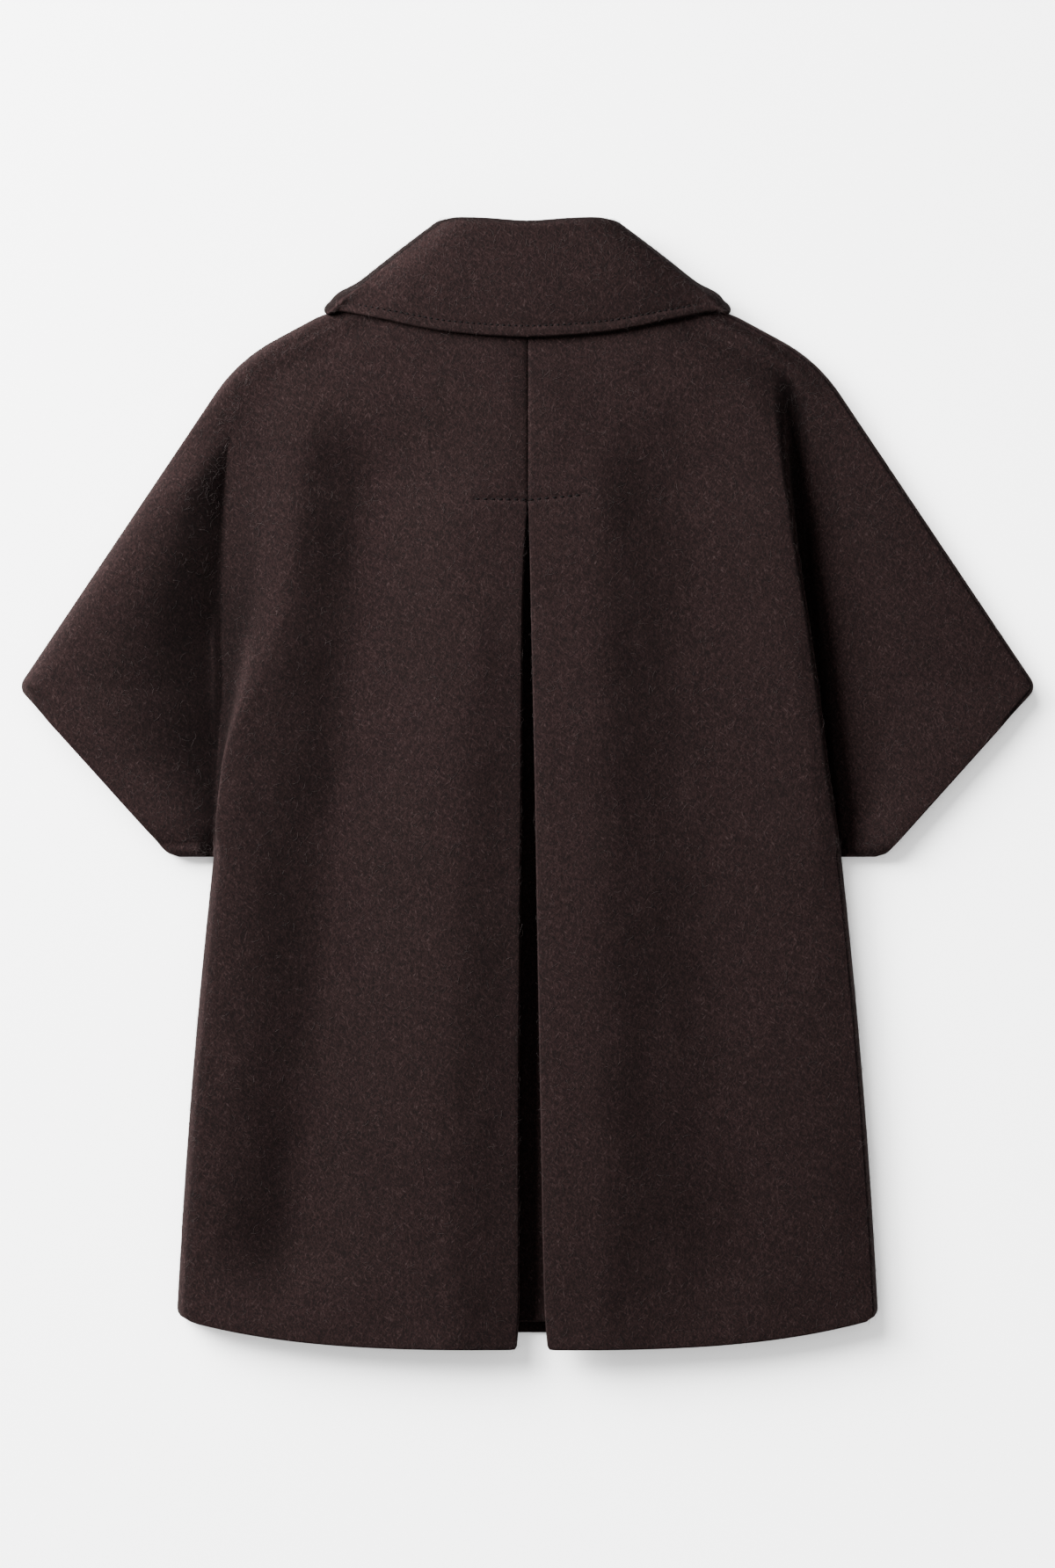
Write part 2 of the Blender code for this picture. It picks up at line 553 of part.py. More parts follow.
def add_wall(name, grid, material, outward=0.0, inward=CLOTH, turned=False):
    """Closed wall on a grid of points: both faces and a rim round every free edge.

    outward and inward are the distances of its two faces from the grid, along the grid's own
    normals. Where a point is marked upright its normal is level, so that a seam's rim is flat,
    and towards the hem normals stay in their row, so that rows don't cross at the corners.
    turned reverses the faces of a grid that runs the other way round.
    """
    points, valid, upright = grid
    rows, columns = points.shape[:2]
    index = np.arange(rows * columns).reshape(rows, columns)
    corners = [index[:-1, :-1], index[1:, :-1], index[1:, 1:], index[:-1, 1:]]
    quads = np.stack([corner[valid] for corner in corners], axis=-1)
    if turned:
        quads = quads[:, ::-1]
    used, quads = np.unique(quads, return_inverse=True)
    quads = quads.reshape(-1, 4)
    points = points.reshape(-1, 3)[used]
    upright = upright.reshape(-1)[used]

    across = points[quads[:, 2]] - points[quads[:, 0]]
    along = points[quads[:, 3]] - points[quads[:, 1]]
    facing = np.cross(across, along)
    normals = np.zeros_like(points)
    for corner in range(4):
        np.add.at(normals, quads[:, corner], facing)
    normals /= np.linalg.norm(normals, axis=1, keepdims=True)
    normals[points[:, 1] < CROSSWISE_Y, 1] = 0.0
    normals[:, 2] *= 1.0 - upright
    normals /= np.linalg.norm(normals, axis=1, keepdims=True)

    count = len(points)
    edges = {(quad[k], quad[(k + 1) % 4]) for quad in quads.tolist() for k in range(4)}
    rim = [(b, a, a + count, b + count) for a, b in sorted(edges) if (b, a) not in edges]
    faces = quads.tolist() + (quads[:, ::-1] + count).tolist() + rim
    vertices = np.vstack([points + outward * normals, points - inward * normals]) * MM

    mesh = bpy.data.meshes.new(name)
    mesh.from_pydata(vertices.tolist(), [], faces)
    mesh.materials.append(material)
    mesh.shade_smooth()
    mesh.set_sharp_from_angle(angle=np.radians(SHARP_ANGLE))
    piece = bpy.data.objects.new(name, mesh)
    bpy.context.scene.collection.objects.link(piece)
    return piece


def mirrored(grid):
    """The same grid on the other side of the centre line."""
    points, valid, upright = grid
    return points * (-1.0, 1.0, 1.0), valid, upright


def main():
    for piece in list(bpy.data.objects):
        bpy.data.objects.remove(piece, do_unlink=True)
    cloth = wool()
    add_wall("back_right", back_panel("right"), cloth)
    add_wall("back_left", mirrored(back_panel("left")), cloth, turned=True)
    add_wall("front_right", front_panel(), cloth, turned=True)
    add_wall("front_left", mirrored(front_panel()), cloth)
    add_wall("pleat_underlay", underlay_panel(), cloth)
    half = 0.5 * COLLAR_WALL
    add_wall("collar", collar_sheet(), cloth, outward=half, inward=half, turned=True)


main()
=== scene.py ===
import bpy
import numpy as np
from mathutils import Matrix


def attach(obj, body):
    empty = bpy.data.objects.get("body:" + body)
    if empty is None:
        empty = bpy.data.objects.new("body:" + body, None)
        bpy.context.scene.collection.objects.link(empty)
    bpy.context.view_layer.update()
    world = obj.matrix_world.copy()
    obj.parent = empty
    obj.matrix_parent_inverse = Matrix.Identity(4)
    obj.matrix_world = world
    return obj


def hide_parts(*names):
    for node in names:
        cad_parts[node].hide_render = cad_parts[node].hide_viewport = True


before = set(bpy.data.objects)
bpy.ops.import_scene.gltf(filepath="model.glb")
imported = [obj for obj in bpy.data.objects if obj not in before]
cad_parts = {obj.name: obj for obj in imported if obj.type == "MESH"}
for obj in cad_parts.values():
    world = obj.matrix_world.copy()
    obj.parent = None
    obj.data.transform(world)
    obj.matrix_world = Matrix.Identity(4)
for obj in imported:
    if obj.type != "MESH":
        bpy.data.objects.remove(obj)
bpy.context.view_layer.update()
mm = 0.001
print("frame loaded:", ", ".join(sorted(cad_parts)))

# sizes in millimetres, the same as the solids': x from the centre line, y towards the collar
coat = {
    "wall": 2.6,  # one ply of felted wool
    "seamGap": 0.3,
    "neckY": 391.5,
    "pleatHeadY": 220.6,  # the pleat opens below this
    "flapY": 220.3,
    "underarmY": -56.9,
    "hemY": -440.8,
    "frontHemRise": 12.2,  # the fronts end this much higher at the centre
    "sideHemRise": 24.6,  # every hem rises to this at the side seams
    "hemBend": 120.0,  # rows bend to the hem's curve over this length
    "crosswiseY": -80.0,  # below this the wall's thickness is measured along x and z alone
    "underarmX": 244.9,
    "hemX": 273.6,
    "sideBow": 2.8,
    "hemCorner": 8.0,
    "seamZ": 7.5,  # height of the seams that join backs and fronts
    "cuffOpensY": 86.0,  # the overarm seam ends here
    "cuffOpenY": 40.0,  # and the cuff stands fully open here
    "frontLift": 5.2,  # the fronts lie over the collar's front leaves
    "liftEllipse": (372.0, 165.0, 120.0),  # centre y, half width, half length
    "liftReach": (1.4, 1.05),
    "seamLevelY": 385.0,
    "seamTurnsY": 365.0,
    "edgeRound": 0.8,  # cut edges are rounded by this
    "seamRound": 0.42,  # and those that meet at the centre by this
    "frontSeamX": 0.6,  # where the fronts meet
    "seamReach": 1.0,  # edges this near the centre line are the centre seams'
    "sleeveRollShare": 0.6,
    "hemPower": 3.2,  # the hem curves with this power of the distance from the centre
    "rowSlack": 1e-6,  # a row this near a height is at it
    "rimTurns": [45, 90, 135],  # rings of a rounded edge, in degrees
    "rimPaintedShading": [0.8, 0.4, 0.1],  # and how much of the painted light and shade reaches each
}

# overarm and cuff outline: corner points and the radius that turns each one
sleeveOutline = {
    "x": [95, 142, 162, 226, 397.4, 278.6, 244.9],
    "y": [393.5, 371.4, 365, 331, 75.4, -56.9, -56.9],
    "radius": [0, 30, 40, 125, 10, 15, 0],
}

# rows shared by backs and fronts, from the neck down: where each run ends and its steps
rowRuns = {
    "end":   [336, 308, 232, 220.6, 220.3, 212, 92, 68, -36, -56.9, -62, -412, -432, -440.8],
    "steps": [20, 11, 26, 8, 1, 5, 38, 13, 34, 11, 3, 104, 7, 4],
}


# soft step: 3t^2 - 2t^3 of the clipped share t of the way from start to end
def smooth(start, end, value):
    t = np.clip((value - start) / (end - start), 0.0, 1.0)
    return t * t * (3.0 - 2.0 * t)


# a share of the way from one value to another
def mix(start, end, share):
    return start + (end - start) * share


# even shares from 0 to 1
def shares(steps):
    return np.linspace(0.0, 1.0, steps + 1)


# bump: e to the minus square of the distance from centre over half width
def bump(value, centre, halfWidth):
    return np.exp(-((value - centre) / halfWidth) ** 2)


# each row scaled to length 1
def unit(rows):
    return rows / np.linalg.norm(rows, axis=1, keepdims=True)


# rows laid into the cloth: less their share along its normal, scaled to length 1
def laidIn(rows, normals):
    return unit(rows - normals * np.sum(rows * normals, axis=1, keepdims=True))


# what a quarter circle takes off a corner, at a distance from the side
def cornerCut(radius, distance):
    into = np.clip(radius - distance, 0.0, radius)
    return radius - np.sqrt(radius ** 2 - into ** 2)


# column of a table that runs down y: a cubic between each two rows, with the harmonic mean of the
# neighbouring slopes at a row, or level where these have different signs
def column(table, name, y):
    knots = np.array(table["y"], float)[::-1]
    values = np.array(table[name], float)[::-1]
    gap = np.diff(knots)
    slope = np.diff(values) / gap
    both = slope[:-1] * slope[1:]
    total = np.where(both > 0.0, slope[:-1] + slope[1:], 1.0)
    middle = np.where(both > 0.0, 2.0 * both / total, 0.0)
    tangent = np.concatenate([slope[:1], middle, slope[-1:]])
    y = np.clip(y, knots[0], knots[-1])
    k = np.clip(np.searchsorted(knots, y) - 1, 0, len(gap) - 1)
    t = (y - knots[k]) / gap[k]
    ends = gap[k] * (t * (1.0 - t) ** 2 * tangent[k] - t * t * (1.0 - t) * tangent[k + 1])
    return mix(values[k], values[k + 1], smooth(0.0, 1.0, t)) + ends


# unevenness between -1 and 1: random heights on a square lattice, joined by soft steps
def unevenness(x, y, cell, seed, cells=64, shift=200.0):
    lattice = np.random.default_rng(seed).uniform(-1.0, 1.0, (cells, cells))
    u, v = x / cell + shift, y / cell + shift
    i, j = np.floor(u).astype(int), np.floor(v).astype(int)
    s, t = smooth(0.0, 1.0, u - i), smooth(0.0, 1.0, v - j)
    i, j, right, up = i % cells, j % cells, (i + 1) % cells, (j + 1) % cells
    return mix(mix(lattice[i, j], lattice[right, j], s), mix(lattice[i, up], lattice[right, up], s), t)


# outline through corners, each turned by an arc: the arc's arm swings from one side to the other
def roundedOutline(corners, steps=14):
    spots = np.stack([corners["x"], corners["y"]], axis=-1)
    path = [spots[:1]]
    swing = shares(steps)[:, None]
    for k in range(1, len(spots) - 1):
        back, ahead = unit(spots[[k - 1, k + 1]] - spots[k])
        half = 0.5 * np.arccos(back @ ahead)
        radius = corners["radius"][k]
        centre = spots[k] + (back + ahead) / np.linalg.norm(back + ahead) * radius / np.sin(half)
        first, last = (spots[k] + arm * radius / np.tan(half) - centre for arm in (back, ahead))
        sweep = np.pi - 2.0 * half
        arms = (np.sin((1.0 - swing) * sweep) * first + np.sin(swing * sweep) * last) / np.sin(sweep)
        path.append(centre + arms)
    return np.vstack(path)[::-1]


sleevePath = roundedOutline(sleeveOutline)


# distance of the overarm or cuff from the centre line, read off its outline
def sleeveEdgeX(y):
    return np.interp(y, sleevePath[:, 1], sleevePath[:, 0])


# nearness to the hem: a soft step over a length, by default the one in which rows bend to it
def nearHem(y, length=coat["hemBend"]):
    return smooth(coat["hemY"] + length, coat["hemY"], y)


# hem above its lowest level: rises with a power of the distance from the centre
def hemRise(x, centreRise):
    return mix(centreRise, coat["sideHemRise"], np.abs(x / coat["hemX"]) ** coat["hemPower"])


# side outline below the underarm: a slanted line with a parabola's bow, and the cut at the hem's corner
def sideEdgeX(y):
    corner = coat["hemCorner"]
    rise = hemRise(coat["hemX"] - 0.5 * corner, 0.0)
    level = y + rise * nearHem(y)
    t = (coat["underarmY"] - level) / (coat["underarmY"] - coat["hemY"] - coat["sideHemRise"])
    t = np.clip(t, 0.0, 1.0)
    x = mix(coat["underarmX"], coat["hemX"], t) + 4.0 * coat["sideBow"] * t * (1.0 - t)
    return x, cornerCut(corner, level - coat["hemY"] - rise)


# underside of the fronts: a low mound over an ellipse, flat elsewhere
def frontLift(x, y):
    centreY, halfX, halfY = coat["liftEllipse"]
    reach = np.hypot(x / halfX, (y - centreY) / halfY)
    return coat["frontLift"] * smooth(*coat["liftReach"], reach)


# how far the fronts turn up to their seams: fully, but for beside the neck
def seamTurn(y):
    return smooth(coat["seamLevelY"], coat["seamTurnsY"], y)


# height of the backs' edges at their seams with the fronts
def seamHeight(x, y):
    lying = coat["wall"] + coat["seamGap"]
    return frontLift(x, y) + mix(lying, coat["seamZ"], seamTurn(y))


# heights of the shared rows: even steps within each run
def rowHeights():
    starts = [coat["neckY"]] + rowRuns["end"][:-1]
    runs = [np.linspace(a, b, n + 1)[1:] for a, b, n in zip(starts, rowRuns["end"], rowRuns["steps"])]
    return np.concatenate([[coat["neckY"]]] + runs)


# width of the roll at a sleeve's edge: measured square to it, and at most a share of the room
def sleeveRoll(roll, edgeX, level, room):
    slant = np.gradient(edgeX[:, 0], level)[:, None]
    return np.minimum(roll * np.hypot(1.0, slant), coat["sleeveRollShare"] * room)


# a face between each four points of a grid
def allFaces(x):
    return np.ones((x.shape[0] - 1, x.shape[1] - 1), bool)


# faces of a panel with a sleeve, and where its seams stand upright: the overarm as sewn, and the underarm
def sleeveSeams(x, hasSleeve, bodyColumns, sewn):
    valid = allFaces(x)
    valid[~hasSleeve[1:], bodyColumns:] = False
    upright = np.zeros_like(x)
    upright[hasSleeve, -1] = sewn[hasSleeve, 0]
    upright[np.flatnonzero(hasSleeve)[-1], bodyColumns + 1:] = 1.0
    return valid, upright


# rounded edge: sine of a quarter turn across, cosine of it down
def quarterTurn(steps):
    angle = np.linspace(0.0, 0.5 * np.pi, steps + 1)
    return np.sin(angle), np.cos(angle)


# points across a rolled edge: even steps where open, those of the quarter turn where sewn
def rolledEdge(edgeX, roll, across, closed):
    return edgeX - roll + roll * mix(shares(len(across) - 1), across, closed)[:, 1:]


# painted light and shade in the wool's colour, by slope: darkest on slopes that face right, then on those to
# the left and to the hem
paintedShadingLook = {
    "base": 0.0,
    "left": 0.8,
    "right": 3.0,
    "up": 0.33,
    # painted shade in the valley beside a fold
    "paintedCreaseShade": 0.38,
    "lightest": 0.2,
    "darkest": 0.6,
    "steep": (0.72, 0.9),  # it fades from the second to the first height of the normal
    "side": 0.0,  # and steep sides get this much painted shade
}


# painted light and shade: shares of the normal's slopes, less as painted shade in the valley beside a fold,
# within limits, passing to the painted shade of steep sides outside that valley
def paintedShadingOf(normals, paintedCreaseShade, look):
    sideways = np.where(normals[:, 0] > 0.0, look["right"], look["left"]) * np.abs(normals[:, 0])
    slope = look["base"] + look["up"] * normals[:, 1] - sideways - look["paintedCreaseShade"] * paintedCreaseShade
    fade = np.maximum(smooth(*look["steep"], normals[:, 2]), paintedCreaseShade)
    return np.clip(slope, -look["darkest"], look["lightest"]) * fade - look["side"] * (1.0 - fade)


# closed wall on a grid: its own face, the same moved in by the wall, a half-round rim along free edges
def clothWall(name, grid, material, outward=0.0, inward=coat["wall"], turned=False,
              edgeRound=coat["edgeRound"], look=paintedShadingLook):
    points, valid, upright, paintedCreaseShade = grid
    rows, columns = points.shape[:2]
    index = np.arange(rows * columns).reshape(rows, columns)
    corners = [index[:-1, :-1], index[1:, :-1], index[1:, 1:], index[:-1, 1:]]
    quads = np.stack([corner[valid] for corner in corners], axis=-1)
    if turned:
        quads = quads[:, ::-1]
    used, quads = np.unique(quads, return_inverse=True)
    quads = quads.reshape(-1, 4)
    points = points.reshape(-1, 3)[used]
    upright, paintedCreaseShade = upright.reshape(-1)[used], paintedCreaseShade.reshape(-1)[used]
    count = len(points)

    # normals: sum of the faces round a point, level where a seam stands upright
    facing = np.cross(points[quads[:, 2]] - points[quads[:, 0]], points[quads[:, 3]] - points[quads[:, 1]])
    normals = np.zeros_like(points)
    for corner in range(4):
        np.add.at(normals, quads[:, corner], facing)
    normals = unit(normals)
    normals[points[:, 1] < coat["crosswiseY"], 1] = 0.0
    normals[:, 2] *= 1.0 - upright
    atCentre = np.abs(points[:, 0]) < coat["seamReach"]
    normals[atCentre & (points[:, 1] > coat["pleatHeadY"]), 0] = 0.0
    normals = unit(normals)

    # free edges, and the way out there: edge direction crossed with the normal
    ends = np.stack([quads, np.roll(quads, -1, axis=1)], axis=-1).reshape(-1, 2)
    free = ~np.isin(ends[:, 0] * count + ends[:, 1], ends[:, 1] * count + ends[:, 0])
    a, b = ends[free].T
    along = points[b] - points[a]
    out = np.zeros_like(points)
    for end in (a, b):
        np.add.at(out, end, np.cross(along, normals[end]))
    edge = np.unique(ends[free])
    out[edge] = unit(out[edge])

    # rim: half an ellipse from the outer face round to the inner one
    half = 0.5 * (outward + inward)
    middle = points + (outward - half) * normals
    roundness = np.where(atCentre[:, None], coat["seamRound"], edgeRound)
    outer = points + outward * normals - roundness * out
    inner = points - inward * normals - roundness * out
    place = np.full(count, -1)
    place[edge] = np.arange(len(edge))
    rings = []
    for angle in np.radians(coat["rimTurns"]):
        across = roundness[edge] * (np.sin(angle) - 1.0)
        rings.append(middle[edge] + half * np.cos(angle) * normals[edge] + across * out[edge])
    vertices = np.vstack([outer, inner] + rings)
    loops = [place + 2 * count + k * len(edge) for k in range(len(rings))]
    loops = [np.arange(count)] + loops + [np.arange(count) + count]
    strips = [np.stack([p[b], p[a], q[a], q[b]], axis=-1) for p, q in zip(loops, loops[1:])]
    faces = np.vstack([quads, quads[:, ::-1] + count] + strips)

    piece = newMesh(name, vertices, faces.tolist(), material)
    # painted light and shade by slope, kept as a point attribute and carried onto the rim
    painted_shading = paintedShadingOf(normals, paintedCreaseShade, look)
    paintedShadingAll = np.concatenate([painted_shading, np.zeros(count)] + [painted_shading[edge] * share for share in coat["rimPaintedShading"]])
    piece.data.attributes.new("painted_shading", "FLOAT", "POINT").data.foreach_set("value", paintedShadingAll.astype(np.float32))
    return piece, outer, normals


# object at the origin, in the scene
def addObject(name, data):
    added = bpy.data.objects.new(name, data)
    bpy.context.scene.collection.objects.link(added)
    return added


# smooth mesh from arrays in millimetres, with nothing below the floor
def newMesh(name, vertices, faces, material):
    mesh = bpy.data.meshes.new(name)
    vertices[:, 2] = np.maximum(vertices[:, 2], 0.0)
    mesh.from_pydata((vertices * mm).tolist(), [], faces)
    mesh.materials.append(material)
    mesh.shade_smooth()
    return addObject(name, mesh)


# the same grid on the other side of the centre line
def mirrored(grid):
    return grid[0] * (-1.0, 1.0, 1.0), *grid[1:]


# Backs

backPanel = {
    "crown": 24.5,  # outer face along the centre
    "sideFall": 3.5,
    "sideRoll": {"left": 12.0, "right": 5.0},  # turns down to the side seam over this width
    "overarmRoll": {"left": 17.0, "right": 4.0},
    "underarmRoll": 12.0,
    "foldEndsY": -30.0,
    "foldLowest": 5.8,  # the valley beside the fold lies on the front at this height
    "foldRisesY": {"left": 70.0, "right": -15.0},  # from here it rises to the underarm seam
    "foldTop": 13.0,  # and is this high there
    "foldSkew": {"left": 1.05, "right": 0.8},
    "paintedCreaseShadeTurns": (8.0, 34.0),  # a fold that turns this far gets painted shade in the valley beside it, in degrees
    "paintedCreaseShadeFold": (0.4, 0.75),  # from these shares of the fold
    "paintedCreaseShadeSleeve": (0.14, 0.0),  # to these of the sleeve
    "pleatDepth": 41.0,
    "pleatRoll": 3.4,  # half the height of the pleat's folded edge
    "pleatCorner": 3.4,  # its corner at the hem is rounded by this
    "cornerReach": 13.6,  # and the rows bend to that over this length
    "leastFall": 1e-3,
    "leastRoom": 1.0,
    "shoulderBlend": (4.0, 40.0),  # the sleeve falls to its edge's height over this width
    "drapeFade": 80.0,
    "seamDip": (0.4, 1.4),  # depth and half width of the groove at the centre seam
    "seamPress": (0.5, 10.0),
    "seamEnds": (-4.0, 6.0),  # the groove begins between these heights from the flap's top
    "shoulderFall": (4.0, 90.0),  # depth and width of the fall to the overarm
    "shoulderFrom": (200.0, 300.0),
    "hemLift": (1.0, 26.0),
    "stitchDip": (0.8, 1.8),
    "stitchFade": 3.0,
    "flapSteps": 8,
    "rollSteps": 12,
    "backSteps": 64,
    "foldSteps": 28,
    "sleeveSteps": 40,
    "edgeSteps": 8,
    "felt": {"cell": [46.0, 19.0, 9.0], "rise": [0.35, 0.16, 0.07], "seed": [3, 8, 21]},
}

# where the body folds over the sleeve: the fold's edge, how far the cloth turns, cloth in the fold
sideFold = {
    "y":         [396, 366, 340, 316, 290, 252, 177, 118, 74, 14, -57],
    "edgeLeft":  [60, 115, 160, 186, 196, 202, 208, 216, 225, 238.2, 245.6],
    "edgeRight": [60, 115, 164, 198, 200.7, 203.2, 212, 221, 227.1, 234.7, 245],
    "turnLeft":  [0, 0, 0, 5, 10, 15, 20, 32, 56, 104, 132],
    "turnRight": [0, 0, 0, 12, 34, 66, 108, 128, 135, 140, 140],
    "clothLeft": [24, 30, 40, 54, 64, 68, 64, 54, 44, 34, 22],
    "clothRight": [24, 28, 28, 26, 26, 26, 28, 30, 32, 32, 22],
}

# rise of the sleeve's back from the fold to its edge: on the left a power of the way still to go, after a
# soft start, and on the right a soft step
sleeveRise = {"left": 2.3, "start": 0.025, "right": (0.1, 1.0)}

# half width of the pleat's gap on each side of the centre line
pleatGap = {
    "y":     [396, 219, 196, 172, 126, -11, -126, -268, -400, -440.8],
    "left":  [-0.35, -0.35, 0.9, 2.3, 3.5, 4.4, 5.3, 6.2, 6.1, 8],
    "right": [0.35, 0.35, 1.1, 1.8, 2.8, 5.8, 7.7, 10.3, 12.9, 15.4],
}

# half width of the pleat's folded edge: pressed flat at the head, rounder below
pleatPress = {
    "y":     [396, 215, 90, -440.8],
    "left":  [1.4, 1.4, 1.7, 1.7],
    "right": [1.3, 1.3, 1.7, 1.7],
}

# soft lengthwise ridges (rise above zero) and troughs (below), each from its top down to its foot
drape = {
    "left": {
        "xTop": [107, 58, 210], "xFoot": [180, 62, 246], "yTop": [310, 290, 300], "yFoot": [-430, -520, -110],
        "halfWidth": [52, 36, 22], "rise": [-8.8, 1.2, 1.0],
    },
    "right": {
        "xTop": [122, 55, 184], "xFoot": [160, 58, 230], "yTop": [310, 300, 330], "yFoot": [-430, -520, -110],
        "halfWidth": [56, 30, 28], "rise": [-3.4, 1.5, 3.0],
    },
}

# the pleat's edge droops: how far, between which distances this fades, and over which length it begins
pleatDroop = {"left": (3.6, -28.0, 74.0), "right": (1.2, 0.0, 9.0), "length": 190.0}

# height of the sleeve's back just before its outer edge
sleeveEdge = {
    "y":     [396, 345, 290, 230, 150, 60, 0, -57],
    "left":  [20, 17.5, 17, 19.5, 22, 21.5, 17, 14.5],
    "right": [20, 17.5, 16, 15.6, 15, 14.5, 14.5, 14.5],
}

# cross stitching at the pleat's head: how far it runs from the centre, and its heights
headStitch = {
    "left": {"reach": 40.8, "centreY": 221.3, "endY": 221.9},
    "right": {"reach": 42.1, "centreY": 221.0, "endY": 225.0},
}


# line of the cross stitching: straight from the centre to its end
def headStitchY(x, side):
    line = headStitch[side]
    return mix(line["centreY"], line["endY"], x / line["reach"])


# where the back begins beside its pleat: half the gap and half the folded edge
def pleatEdge(side, y):
    return column(pleatGap, side, y) + column(pleatPress, side, y)


# outer face of a back: a low crown falling with the square of x, soft ridges and troughs along y,
# grooves at the centre seam and the cross stitching, and the felt's own unevenness
def backHeight(x, y, side):
    sizes = backPanel
    z = sizes["crown"] - sizes["sideFall"] * (x / coat["underarmX"]) ** 2
    for xTop, xFoot, top, foot, halfWidth, rise in zip(*drape[side].values()):
        along = np.clip((top - y) / (top - foot), 0.0, 1.0)
        fade = smooth(top, top - sizes["drapeFade"], y) * smooth(foot, foot + sizes["drapeFade"], y)
        z = z + rise * fade * bump(x, mix(xTop, xFoot, along), halfWidth)
    depth, width = sizes["shoulderFall"]
    z = z - depth * (1.0 - smooth(0.0, width, sleeveEdgeX(y) - x)) * smooth(*sizes["shoulderFrom"], y)
    depth, width = sizes["hemLift"]
    z = z + depth * nearHem(y, width)
    above = smooth(*sizes["seamEnds"], y - coat["flapY"])
    for depth, width in (sizes["seamDip"], sizes["seamPress"]):
        z = z - depth * bump(x, 0.0, width) * above
    depth, near, far = pleatDroop[side]
    lower = smooth(coat["flapY"], coat["flapY"] - pleatDroop["length"], y)
    z = z - depth * (1.0 - smooth(near, far, x - pleatEdge(side, y))) * lower
    depth, width = sizes["stitchDip"]
    reach = headStitch[side]["reach"]
    z = z - depth * bump(y, headStitchY(x, side), width) * smooth(reach + sizes["stitchFade"], reach, x)
    signed = x if side == "right" else -x
    for cell, rise, seed in zip(*sizes["felt"].values()):
        z = z + rise * unevenness(signed, y, cell, seed)
    return z


# fold in section, for a millimetre of cloth: its angle swings down by turn and back to level, as a raised
# cosine of the length to the power of skew, and its place is the running sum of the angle's cosine and sine
def foldProfile(turn, skew, steps):
    fine = 4
    s = shares(steps * fine)
    angle = -turn[:, None] * (1.0 - np.cos(2.0 * np.pi * s ** skew)) / 2.0
    places = []
    for way in (np.cos(angle), np.sin(angle)):
        step = (way[:, 1:] + way[:, :-1]) / 2.0 / (len(s) - 1)
        places.append(np.hstack([np.zeros((len(turn), 1)), np.cumsum(step, axis=1)]))
    x, z = places
    steepest = int(round(0.5 ** (1.0 / skew) * (len(s) - 1)))
    edge = x[:, :steepest + 1].max(axis=1)
    return x[:, ::fine], z[:, ::fine], edge


